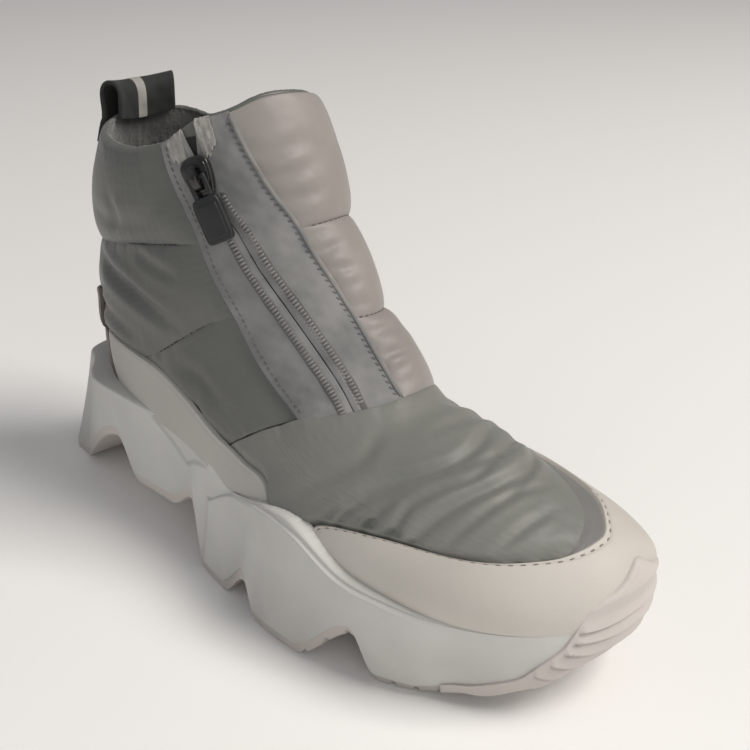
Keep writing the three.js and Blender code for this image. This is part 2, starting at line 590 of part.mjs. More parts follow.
// The space above the footbed, raised by a gap.
function aboveFootbed(gap) {
  const outline = [];
  for (let i = 0; i <= 24; i += 1) {
    const along = (i / 24) * 2 - 1;
    outline.push([halfSole * along * 1.1, footbedAt(along) + gap]);
  }
  const high = featherHeight + upperHeight * 1.5;
  outline.push([halfSole * 1.1, high], [-halfSole * 1.1, high]);
  return crossPrism(outline, -ballWidth, ballWidth);
}

const treadTop = (along, inward) => treadHeight(along, inward) + treadThickness;
const treadTopOut = (along) => wallOut(along, heightShare(along, treadTop(along, 0)));

// The outsole: a tread under the whole sole, with the toe bumper standing up from it.
function makeOutsole() {
  const tread = (inward) => ({ inward, height: treadHeight, out: (along) => wallOut(along, 0) - 1 });
  const back = (inward) => ({ inward, height: treadTop, out: treadTopOut });
  return soleSolid([tread(0.8), tread(0), back(0), back(0.8)]).add(makeBumper());
}

// Stations round the toe, from the outer side to the inner side.
function toeRim(stations) {
  return [
    ...stations.map((along) => ["outer", along]),
    ["outer", 1],
    ...stations.slice().reverse().map((along) => ["inner", along]),
  ];
}

// A wall that follows the toe between two distances from the sole's outline, up to the bumper's top edge.
function toeWall(rim, shares, from, to, gap) {
  const sheet = (depth) =>
    shares.map((share) =>
      rim.map(([side, along]) => {
        const low = treadHeight(along, 0) + (gap > 0 ? 0 : treadThickness * 0.4);
        const edgeHeight = bumperHeight * follow(bumperEdge, "along", "height", Math.max(along + gap * 0.012, 0.68));
        const high = Math.max(edgeHeight, treadTop(along, 0) + 1) + gap;
        const z = THREE.MathUtils.lerp(low, high, share);
        const up = heightShare(along, z);
        const lean = bumperLean * Math.max(0, z - bumperHeight * 0.83);
        const edge = outlinePoint(side, along, wallOut(along, up) - lean - depth, up);
        return new THREE.Vector3(edge.x, edge.y, z);
      }),
    );
  return sheetSolid(sheet(from), sheet(to));
}

// One rib along the toe at a height, as a bar half sunk in the bumper's face.
function bumperRib(z, rim) {
  const rings = rim.map(([side, along], i) => {
    const up = heightShare(along, z);
    const end = i === 0 || i === rim.length - 1 ? 0.2 : 1;
    const at = (out, rise) => {
      const edge = outlinePoint(side, along, wallOut(along, up) + out, up);
      return new THREE.Vector3(edge.x, edge.y, z + rise * end);
    };
    return [at(-1.8, -ribWidth / 2), at(ribDepth * end, -ribWidth / 4), at(ribDepth * end, ribWidth / 4), at(-1.8, ribWidth / 2)];
  });
  return loft(rings);
}

const bumperStations = [0.68, 0.76, 0.82, 0.87, 0.905, 0.935, 0.96, 0.985, 0.997];

// The toe bumper: a wall round the toe, with ribs across its face that get shorter downwards.
function makeBumper() {
  let wall = toeWall(toeRim(bumperStations), [0, 0.5, 0.8, 1], bumperThickness, 0, 0);
  for (let i = 0; i < ribCount; i += 1) {
    const z = bumperHeight * 0.66 - ribPitch * i;
    const start = 0.93 - 0.013 * i;
    const shares = [0, 0.35, 0.7, 1].map((t) => THREE.MathUtils.lerp(start, 0.995, t));
    if (i < 3) wall = wall.add(bumperRib(z, toeRim(shares)));
    else for (const side of ["outer", "inner"]) wall = wall.add(bumperRib(z, shares.slice(0, 3).map((a) => [side, a])));
  }
  return wall;
}

// The space that the bumper takes up, with its clearance.
function bumperRoom() {
  const rim = toeRim([0.66, ...bumperStations]);
  return toeWall(rim, [0, 0.5, 0.8, 1], bumperThickness + seamClearance * 1.8, -5, seamClearance);
}

// The midsole: its wall has a thicker front part below a border. It is hollowed for the upper and the bumper.
function makeMidsole(cavity) {
  const bottom = (along, inward) => treadHeight(along, inward) + treadThickness + seamClearance;
  const isFront = (along) => THREE.MathUtils.smoothstep(along, frontBorder[0].along - 0.03, frontBorder[0].along);
  const borderAt = (along) => {
    const plain = THREE.MathUtils.lerp(bottom(along, 0), lipHeight(along), 0.7);
    const front = follow(frontBorder, "along", "height", Math.max(along, frontBorder[0].along));
    return THREE.MathUtils.lerp(plain, Math.min(front, lipHeight(along) - 1), isFront(along));
  };
  const ring = (height, step) => ({
    inward: 0,
    height,
    out: (along) => wallOut(along, heightShare(along, height(along, 0))) + step * frontStep * isFront(along),
  });
  const under = (inward) => ({ inward, height: bottom, out: treadTopOut, base: treadTop });
  const low = ring((along, inward) => bottom(along, inward) + 0.8, 1);
  const middle = ring((along) => THREE.MathUtils.lerp(bottom(along, 0), borderAt(along), 0.45), 1);
  const lip = ring(lipHeight, 0);
  const block = soleSolid([
    under(0.8), under(0), low, middle,
    ring(borderAt, 1), ring((along) => borderAt(along) + 0.7, 0), lip, { ...lip, inward: 0.8 },
  ], 1);
  return block.subtract(cavity).subtract(bumperRoom());
}

// The band of space along one side of the heel that the rand covers.
function randRegion(side) {
  const steps = 10;
  const low = [];
  const high = [];
  for (let i = 0; i <= steps; i += 1) {
    const along = THREE.MathUtils.lerp(randBand[0].along - 0.1, randBand[randBand.length - 1].along, i / steps);
    const at = Math.max(along, randBand[0].along);
    low.push([halfUpper * along, featherHeight + upperHeight * (follow(randBand, "along", "low", at) - 0.2)]);
    high.push([halfUpper * along, featherHeight + upperHeight * follow(randBand, "along", "high", at)]);
  }
  const outline = [...low, ...high.reverse()];
  return side === "outer" ? crossPrism(outline, -ballWidth, 0) : crossPrism(outline, 0, ballWidth);
}

// The three padded baffles over the instep, beside the zip.
function makeBaffles() {
  const down = [0, 0.12, 0.37, 0.63, 0.88];
  const across = [0, 0.05, 0.22, 0.41, 0.6, 0.79, 0.95, 1];
  const sheet = (padded) => {
    const grid = [];
    for (let bay = 0; bay < 3; bay += 1) {
      const shares = bay < 2 ? down : [...down, 1];
      for (const share of shares) {
        grid.push(across.map((side) => {
          let level = THREE.MathUtils.lerp(8, 14, (bay + share) / 3);
          let angle = 0;
          for (let pass = 0; pass < 4; pass += 1) {
            angle = THREE.MathUtils.lerp(edgeAt(placketInnerEdge, level) + 0.01, edgeAt(baffleInnerEdge, level), side);
            const seams = [vampSeam, lowQuilt, highQuilt, collarLine].map((line) => lineAt(line, angle));
            level = THREE.MathUtils.lerp(seams[bay] + (bay === 0 ? 0.05 * (1 - share) : 0), seams[bay + 1], share);
          }
          const round = pillow(share) * pillow(THREE.MathUtils.clamp(side, 0.02, 0.98));
          const height = padded ? seamClearance + baffleBase + baffleLoft * round : seamClearance * 3.2;
          return skin(level, angle).addScaledVector(skinNormal(level, angle), height);
        }));
      }
    }
    return grid;
  };
  return sheetSolid(sheet(false), sheet(true));
}

// A strip that follows the zip between two levels, with its width and its two heights over the skin.
function zipStrip(from, to, steps, width, low, high) {
  const sheet = (height) =>
    Array.from({ length: steps + 1 }, (_, i) => {
      const level = THREE.MathUtils.lerp(from, to, i / steps);
      const centre = edgeAt(zipLine, level);
      const reach = width / 2 / (skin(level, centre + 0.02).distanceTo(skin(level, centre - 0.02)) / 0.04);
      return [-1, 0, 1].map((side) => {
        const angle = centre + side * reach;
        return skin(level, angle).addScaledVector(skinNormal(level, angle), height);
      });
    });
  return sheetSolid(sheet(low), sheet(high));
}

// A local frame on the zip at a level: down along the zip, across it and outwards, on the placket's face.
function zipFrame(level) {
  const at = (l) => skin(l, edgeAt(zipLine, l));
  const down = at(level - 0.15).sub(at(level + 0.15)).normalize();
  const out = skinNormal(level, edgeAt(zipLine, level));
  out.addScaledVector(down, -out.dot(down)).normalize();
  const across = out.clone().cross(down);
  const frame = new THREE.Matrix4().makeBasis(down, across, out);
  return frame.setPosition(at(level).addScaledVector(out, seamClearance + placketThickness));
}

// The zip's slider: a lozenge plate with a bridge over its middle.
function makeSlider() {
  const length = sliderLength / 2;
  const width = sliderWidth / 2;
  const base = sliderBase;
  const shape = new THREE.Shape();
  shape.moveTo(length, width * 0.55);
  shape.quadraticCurveTo(length * 0.5, width, -length * 0.2, width);
  shape.quadraticCurveTo(-length, width * 0.9, -length, 0);
  shape.quadraticCurveTo(-length, -width * 0.9, -length * 0.2, -width);
  shape.quadraticCurveTo(length * 0.5, -width, length, -width * 0.55);
  const plate = new THREE.ExtrudeGeometry(shape, {
    depth: sliderHeight - 1.6,
    bevelEnabled: true,
    bevelThickness: 0.5,
    bevelSize: 0.5,
    bevelOffset: -0.5,
    bevelSegments: 1,
    curveSegments: 6,
  });
  plate.translate(0, 0, base + 0.5);
  const arch = new THREE.Shape();
  const half = bridgeLength / 2;
  arch.moveTo(-half, 0);
  arch.quadraticCurveTo(-half, bridgeRise, 0, bridgeRise);
  arch.quadraticCurveTo(half, bridgeRise, half, 0);
  arch.lineTo(half - 1.6, 0);
  arch.quadraticCurveTo(half - 1.6, bridgeRise - 1.4, 0, bridgeRise - 1.4);
  arch.quadraticCurveTo(-half + 1.6, bridgeRise - 1.4, -half + 1.6, 0);
  const bridge = new THREE.ExtrudeGeometry(arch, { depth: bridgeWidth, bevelEnabled: false, curveSegments: 6 });
  bridge.rotateX(Math.PI / 2);
  bridge.translate(0, bridgeWidth / 2, base + sliderHeight - 0.9);
  return solidFromGeometry(plate).add(solidFromGeometry(bridge));
}

// Height of the pull's hinge bar over the placket.
const barHeight = sliderBase + sliderHeight + 0.7;

// The zip's pull: a moulded plate on two arms, with a round bar that passes under the slider's bridge.
function makePull() {
  const armStart = -pullBarRadius;
  const plateStart = 6.6;
  const frame = new THREE.Shape();
  frame.moveTo(armStart, -pullWidth * 0.34);
  frame.lineTo(plateStart, -pullWidth * 0.34);
  frame.lineTo(plateStart + 1.5, -pullWidth / 2);
  frame.lineTo(pullLength - 1.5, -pullWidth / 2);
  frame.lineTo(pullLength, -pullWidth / 2 + 1.5);
  frame.lineTo(pullLength, pullWidth / 2 - 1.5);
  frame.lineTo(pullLength - 1.5, pullWidth / 2);
  frame.lineTo(plateStart + 1.5, pullWidth / 2);
  frame.lineTo(plateStart, pullWidth * 0.34);
  frame.lineTo(armStart, pullWidth * 0.34);
  const gap = bridgeWidth / 2 + 0.5;
  const window = new THREE.Path();
  window.moveTo(pullBarRadius, gap);
  window.lineTo(plateStart - 0.9, gap);
  window.lineTo(plateStart - 0.9, -gap);
  window.lineTo(pullBarRadius, -gap);
  frame.holes.push(window);
  const plate = new THREE.ExtrudeGeometry(frame, { depth: pullBarRadius * 1.6, bevelEnabled: false });
  plate.translate(0, 0, -pullBarRadius * 0.8);
  const pad = new THREE.BoxGeometry(pullLength - plateStart - 2.6, pullWidth - 2, pullThickness);
  pad.translate((pullLength + plateStart) / 2 + 0.4, 0, 0.35);
  const bar = new THREE.CylinderGeometry(pullBarRadius, pullBarRadius, pullWidth * 0.66, 10);
  return solidFromGeometry(plate).add(solidFromGeometry(pad)).add(solidFromGeometry(bar));
}

// The pull loop: a webbing band over the collar's rim at the heel, with a leg outside and a leg inside.
function makePullLoop() {
  const halfAngle = Math.asin(loopWidth / 2 / (footWidth * 0.38));
  const edge = lineAt(collarLine, 180) - 0.1;
  const drop = loopLegDrop / 14;
  const half = loopThickness / 2;
  const outer = seamClearance * 3 + half;
  const inner = -wallThickness - seamClearance * 3 - half;
  const inside = (level, angle, height) => skin(level, angle).addScaledVector(skinNormal(level, angle), height);
  const column = (angle, side) => {
    const leg = (share, height, sign) =>
      (sign > 0 ? shell : inside)(edge - drop * share, angle, height + sign * side * half);
    const out = shell(edge, angle, outer);
    const into = inside(edge, angle, inner);
    const middle = out.clone().lerp(into, 0.5);
    const away = out.clone().sub(into).setZ(0).normalize();
    const reach = out.distanceTo(into) / 2;
    const line = [leg(1, outer, 1), leg(0.5, outer, 1), leg(0, outer, 1)];
    for (let i = 1; i < 8; i += 1) {
      const turn = (i / 8) * Math.PI;
      const wide = reach + 1.6 * Math.sin(turn) + side * half;
      const high = loopRise * Math.sin(turn) ** 0.7 + 1.4 + side * half * Math.sin(turn);
      line.push(middle.clone().addScaledVector(away, wide * Math.cos(turn)).add(new THREE.Vector3(0, 0, high)));
    }
    line.push(leg(0, inner, -1), leg(0.35, inner, -1));
    return line;
  };
  const sheet = (side) =>
    [-1, -0.6, -0.2, 0.2, 0.6, 1].map((share) => {
      const turned = share * halfAngle;
      return column(turned > 0 ? turned - Math.PI : turned + Math.PI, side);
    });
  return sheetSolid(sheet(-1), sheet(1));
}

const boot = new THREE.Group();

// Adds a solid to a group as a named mesh.
function addPiece(parent, name, solid, colour, roughness, matrix) {
  const mesh = solid.getMesh();
  const geometry = new THREE.BufferGeometry();
  geometry.setAttribute("position", new THREE.BufferAttribute(new Float32Array(mesh.vertProperties), mesh.numProp));
  geometry.setIndex(new THREE.BufferAttribute(new Uint32Array(mesh.triVerts), 1));
  const material = new THREE.MeshStandardMaterial({ color: colour, roughness, metalness: 0, flatShading: true });
  const piece = new THREE.Mesh(geometry, material);
  piece.name = name;
  if (matrix) piece.applyMatrix4(matrix);
  parent.add(piece);
  return piece;
}

const always = (value) => () => value;
const outside = upperForm(0, 0);
const inside = liningForm(wallThickness, 12);
const room = upperForm(seamClearance, 0);
const overFootbed = aboveFootbed(0);
const soleRoom = soleBlock(treadThickness, seamClearance, () => frontStep + 1).add(bumperRoom());
const mainBody = (solid) => solid.decompose().sort((a, b) => b.volume() - a.volume())[0];

const upper = outside.subtract(bumperRoom()).subtract(inside).intersect(aboveFootbed(seamClearance));
const outsole = makeOutsole();
const midsole = makeMidsole(room.intersect(overFootbed));
const insole = liningForm(wallThickness + seamClearance, 0)
  .intersect(aboveFootbed(seamClearance))
  .subtract(aboveFootbed(seamClearance + insoleThickness));

const toeCap = mainBody(makeToeCap().subtract(soleRoom));

const randShell = upperForm(seamClearance + randThickness, 0).subtract(upperForm(seamClearance, 12));
const backRegion = (from, to) =>
  panelRegion(always(9.2), always(11.3), always(from * degrees), always(to * degrees), 3, 4, 8, 8);
const clipRegion = backRegion(randBackAngle, 360 - randBackAngle);
const randPiece = (side) => {
  const band = randShell.intersect(randRegion(side)).subtract(soleRoom);
  return mainBody(band.subtract(backRegion(randBackAngle - 1, 361 - randBackAngle)));
};
const clipShell = upperForm(seamClearance + clipThickness, 0).subtract(upperForm(seamClearance, 12));
const heelClip = mainBody(clipShell.intersect(clipRegion).subtract(soleRoom));

const teethLow = placketThickness + seamClearance * 2;
const placketShell = upperForm(seamClearance + placketThickness, 0).subtract(upperForm(seamClearance, 12));
const placket = placketShell.intersect(
  panelRegion(
    (angle) => lineAt(vampSeam, angle) + 0.02, (angle) => lineAt(collarLine, angle) + 0.2,
    (level) => edgeAt(placketOuterEdge, level), (level) => edgeAt(placketInnerEdge, level), 10, 3, 4, 6,
  ),
);

addPiece(boot, "outsole", outsole, 0xd6cdc8, 0.7);
addPiece(boot, "midsole", midsole, 0xc9c9c5, 0.8);
addPiece(boot, "insole", insole, 0x5a5a58, 0.95);
addPiece(boot, "upper", upper, 0x84847f, 0.5);
addPiece(boot, "toe_cap", toeCap, 0xcfcac0, 0.6);
addPiece(boot, "heel_rand_outer", randPiece("outer"), 0xc4c0b5, 0.6);
addPiece(boot, "heel_rand_inner", randPiece("inner"), 0xc4c0b5, 0.6);
addPiece(boot, "heel_clip", heelClip, 0x8d827b, 0.6);
addPiece(boot, "zip_placket", placket, 0x8a8b89, 0.9);
addPiece(boot, "front_baffles", makeBaffles(), 0x9b938d, 0.5);
addPiece(boot, "zip_teeth", zipStrip(7.35, 14.3, 16, teethWidth, teethLow, teethLow + teethHeight), 0x6f6f6e, 0.5);
addPiece(boot, "zip_slider", makeSlider(), 0x222020, 0.4, zipFrame(sliderLevel));
const pullFrame = zipFrame(sliderLevel).multiply(new THREE.Matrix4().makeTranslation(0, 0, barHeight));
addPiece(boot, "zip_pull_tab", makePull(), 0x2f3134, 0.5, pullFrame);
addPiece(boot, "pull_loop", makePullLoop(), 0x3a3d3b, 0.9);

// The origin is the middle of the bottom of the whole boot's box.
const box = new THREE.Box3().setFromObject(boot);
for (const piece of boot.children) {
  piece.position.x -= (box.min.x + box.max.x) / 2;
  piece.position.y -= (box.min.y + box.max.y) / 2;
}

export default boot;
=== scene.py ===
"""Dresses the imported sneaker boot: quilted nylon upper, coated overlays, slanted zip and foam wedge sole.

Lengths are in millimetres until a mesh is made, with +X to the toe, +Y to the foot's inner side and +Z up.
A place on the upper is a level, counted along the last from the toe to the collar, and a turn in degrees
round it: 0 on the ridge and shin, -90 on the outer side, 90 on the inner side and 180 at the heel.
"""

import json
import logging
import math
from collections.abc import Callable
from dataclasses import dataclass, replace
from enum import Enum

import bpy
import numpy as np
from mathutils import Matrix, Vector

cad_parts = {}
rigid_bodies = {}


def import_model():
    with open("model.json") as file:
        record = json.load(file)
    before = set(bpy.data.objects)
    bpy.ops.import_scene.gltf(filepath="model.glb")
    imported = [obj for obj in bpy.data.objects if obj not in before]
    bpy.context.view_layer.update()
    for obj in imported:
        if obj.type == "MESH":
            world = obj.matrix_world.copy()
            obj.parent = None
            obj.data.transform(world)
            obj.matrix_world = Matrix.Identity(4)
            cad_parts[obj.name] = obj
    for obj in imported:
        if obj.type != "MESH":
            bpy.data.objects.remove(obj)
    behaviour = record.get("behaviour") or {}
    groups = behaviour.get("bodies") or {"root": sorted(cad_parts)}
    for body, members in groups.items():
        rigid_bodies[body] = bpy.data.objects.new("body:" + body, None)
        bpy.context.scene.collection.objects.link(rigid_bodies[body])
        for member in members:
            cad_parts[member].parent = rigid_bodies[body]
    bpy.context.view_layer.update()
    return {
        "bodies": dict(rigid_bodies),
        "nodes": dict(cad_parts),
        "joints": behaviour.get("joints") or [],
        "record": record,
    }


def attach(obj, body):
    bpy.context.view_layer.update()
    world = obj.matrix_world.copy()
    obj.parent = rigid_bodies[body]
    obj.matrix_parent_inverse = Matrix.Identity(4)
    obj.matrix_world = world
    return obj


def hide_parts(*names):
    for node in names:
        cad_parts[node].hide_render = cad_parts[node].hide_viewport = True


log = logging.getLogger("boot")
MM = 0.001
# Height of one level on the shaft, in millimetres.
LEVEL_HEIGHT = 14.0
# The whole turn round the foot, for pieces that go all round it.
ROUND = np.linspace(-180, 180, 432, endpoint=False)
Array = np.ndarray
Rows = tuple[tuple[float, ...], ...]
Place = tuple[float, float, float]
Socket = bpy.types.NodeSocket


def smooth(value: Array, low: float, high: float) -> Array:
    """A soft step: 0 below low, 1 above high and a cubic between them."""
    t = np.clip((value - low) / (high - low), 0.0, 1.0)
    return t * t * (3 - 2 * t)


def blend(a: Array, b: Array, share: Array) -> Array:
    """The value a share of the way from a to b."""
    return a + (b - a) * share


def wrap(turn: Array) -> Array:
    """The same turn between -180 and 180 degrees."""
    return (np.asarray(turn, float) + 180.0) % 360.0 - 180.0


def crowded(count: int, power: float = 1.0) -> Array:
    """Shares from 0 to 1 that lie closer together at both ends, the more so the higher the power."""
    even = np.linspace(0.0, 1.0, count)
    return blend(even, 0.5 - 0.5 * np.cos(np.pi * even), power)


@dataclass(frozen=True)
class Curve:
    """A smooth curve through rows of a place and a value.

    Attributes:
        rows: the place and the value of each point.
        eased: True where every row is a crest or a foot with a level curve.
    """

    rows: Rows
    eased: bool = False

    def __call__(self, at: Array) -> Array:
        """The cubic through the rows. Its slope at a row is that of the line between the row's neighbours."""
        place, value = np.array(self.rows).T
        last = len(place) - 1
        at = np.asarray(at, float)
        k = np.clip(np.searchsorted(place, at) - 1, 0, last - 1)
        span = place[k + 1] - place[k]
        t = np.clip((at - place[k]) / span, 0.0, 1.0)
        if self.eased:
            return blend(value[k], value[k + 1], t * t * (3 - 2 * t))
        before = np.maximum(np.arange(last + 1) - 1, 0)
        after = np.minimum(np.arange(last + 1) + 1, last)
        slope = (value[after] - value[before]) / (place[after] - place[before])
        t2, t3 = t * t, t * t * t
        ends = value[k] * (2 * t3 - 3 * t2 + 1) + value[k + 1] * (3 * t2 - 2 * t3)
        return ends + span * (slope[k] * (t3 - 2 * t2 + t) + slope[k + 1] * (t3 - t2))


class Noise:
    """Soft repeatable noise over two parameters."""

    SIZE = 64

    def __init__(self, seed: int) -> None:
        """Fills a wrapping table of random values from a seed."""
        self.table = np.random.default_rng(seed).uniform(-1.0, 1.0, (self.SIZE, self.SIZE))

    def pick(self, row: Array, column: Array) -> Array:
        """The random values at whole numbers."""
        return self.table[row % self.SIZE, column % self.SIZE]

    def __call__(self, u: Array, v: Array) -> Array:
        """Random values at whole numbers, joined by cubic steps in both directions."""
        u, v = np.broadcast_arrays(np.asarray(u, float), np.asarray(v, float))
        iu, iv = np.floor(u).astype(int), np.floor(v).astype(int)
        fu, fv = smooth(u - iu, 0, 1), smooth(v - iv, 0, 1)
        near, far = (blend(self.pick(iu, iv + k), self.pick(iu + 1, iv + k), fu) for k in (0, 1))
        return blend(near, far, fv)


# The last's sections, in shares of its half length, height and width. Each row gives front x and z, back x
# and z, outer and inner half width, the widest place, the fullness above and below it, and the shift.
SECTIONS: Rows = (
    (0.966, 0.069, 0.966, 0.028, 0.011, 0.011, 0.5, 0, 0, 0.065),
    (0.959, 0.11, 0.952, -0.034, 0.185, 0.163, 0.5, 0.07, 0.14, 0.054),
    (0.924, 0.152, 0.903, -0.083, 0.304, 0.261, 0.45, 0, 0.22, 0.043),
    (0.834, 0.193, 0.814, -0.103, 0.413, 0.348, 0.42, -0.03, 0.22, 0.022),
    (0.717, 0.228, 0.683, -0.11, 0.489, 0.413, 0.4, -0.07, 0.22, 0),
    (0.579, 0.255, 0.524, -0.117, 0.533, 0.457, 0.38, -0.1, 0.22, 0),
    (0.434, 0.283, 0.31, -0.117, 0.543, 0.457, 0.36, -0.1, 0.22, 0),
    (0.317, 0.31, 0, -0.117, 0.511, 0.435, 0.36, -0.07, 0.18, 0),
    (0.234, 0.386, -0.31, -0.11, 0.457, 0.413, 0.38, -0.03, 0.14, 0),
    (0.159, 0.476, -0.648, -0.055, 0.424, 0.391, 0.42, 0, 0.1, 0),
    (0.097, 0.559, -0.807, 0.076, 0.402, 0.38, 0.48, 0, 0.07, 0),
    (0.041, 0.641, -0.834, 0.262, 0.397, 0.38, 0.5, 0, 0.03, 0),
    (0.007, 0.717, -0.814, 0.455, 0.391, 0.38, 0.5, 0, 0, 0),
    (-0.028, 0.786, -0.814, 0.559, 0.391, 0.38, 0.5, 0, 0, 0),
    (-0.069, 0.883, -0.793, 0.669, 0.391, 0.38, 0.5, 0, 0, 0),
    (-0.11, 1, -0.759, 0.772, 0.38, 0.37, 0.5, 0, 0, 0),
    (-0.145, 1.103, -0.738, 0.876, 0.38, 0.37, 0.5, 0, 0, 0),
)

# Lines round the upper: a level at each turn.
CAP_TOP = Curve((
    (-180, 6.38), (-84, 6.38), (-74, 6.25), (-64, 5.4), (-56, 4.12), (-48, 3.4), (-34, 2.75), (-10, 2.48),
    (4, 2.7), (24, 3.3), (34, 3.82), (41, 4.45), (48, 5.05), (56, 5.6), (66, 6.02), (80, 6.3), (180, 6.38),
))
INSERT_SEAM = Curve((
    (-34, 2.6), (-26, 2.62), (-16, 2.72), (-3, 2.95), (10, 3.45), (20, 3.98), (31, 4.72), (40, 5.25),
    (48, 5.62), (56, 5.9), (64, 6.02), (68, 6.02),
))
VAMP_SEAM = Curve((
    (-180, 8.3), (-100, 8.2), (-66, 8.07), (-48, 7.85), (-34, 7.5), (-7, 7.1), (26, 7.12), (43, 7.35),
    (63, 7.68), (80, 7.85), (120, 8.1), (180, 8.3),
))
LOW_QUILT = Curve((
    (-180, 10.3), (-94, 9.95), (-54, 10.15), (-8, 9.15), (26, 9.15), (50, 9.5), (78, 9.75), (180, 10.3),
))
HIGH_QUILT = Curve((
    (-180, 12.5), (-100, 12.2), (-65, 11.95), (-18, 11.8), (23, 11.75), (60, 11.45), (90, 11.6), (180, 12.5),
))
COLLAR = Curve((
    (-180, 15.85), (-145, 15.45), (-101, 14.7), (-74, 14.55), (-54, 14.85), (-38, 14.9), (-18, 15.05),
    (6, 15), (30, 14.87), (50, 14.65), (60, 14.2), (70, 13.55), (84, 13.75), (98, 14.2), (140, 15.4),
    (180, 15.85),
))

# The seams of the three quilted bays, upwards.
QUILT_SEAMS = (VAMP_SEAM, LOW_QUILT, HIGH_QUILT, COLLAR)

# Lines up the front: a turn at each level.
PLACKET_OUTER = Curve(((7, -47), (8.8, -50), (10.2, -54), (11.7, -61), (12.9, -64), (14.2, -70), (16, -76)))
PLACKET_INNER = Curve(((7, -6), (9.15, -8), (11.75, -18), (13.9, -31), (14.8, -37), (16, -44)))
ZIP_LINE = Curve(((7, -29), (8, -28), (9, -30), (10.3, -36), (12, -45), (12.75, -49), (13.9, -54), (16, -62)))
BAFFLE_INNER = Curve(((7, 43), (8, 42), (9.25, 46), (10.95, 54), (12.7, 66), (13.5, 70), (16, 78)))

# Degrees beside the front panels over which the quilting rises to its full height.
FRONT_FADE = 14.0

# The heel rand's top edge along the foot, in shares of the last's half length and height, and its two ends.
RAND_ENDS = (-0.9, 0.138)
RAND_HIGH = Curve((
    (-0.9, 0.265), (-0.72, 0.268), (-0.5, 0.262), (-0.39, 0.255), (-0.27, 0.22), (-0.12, 0.155), (0, 0.125),
    (0.1, 0.105), (0.138, 0.04),
))


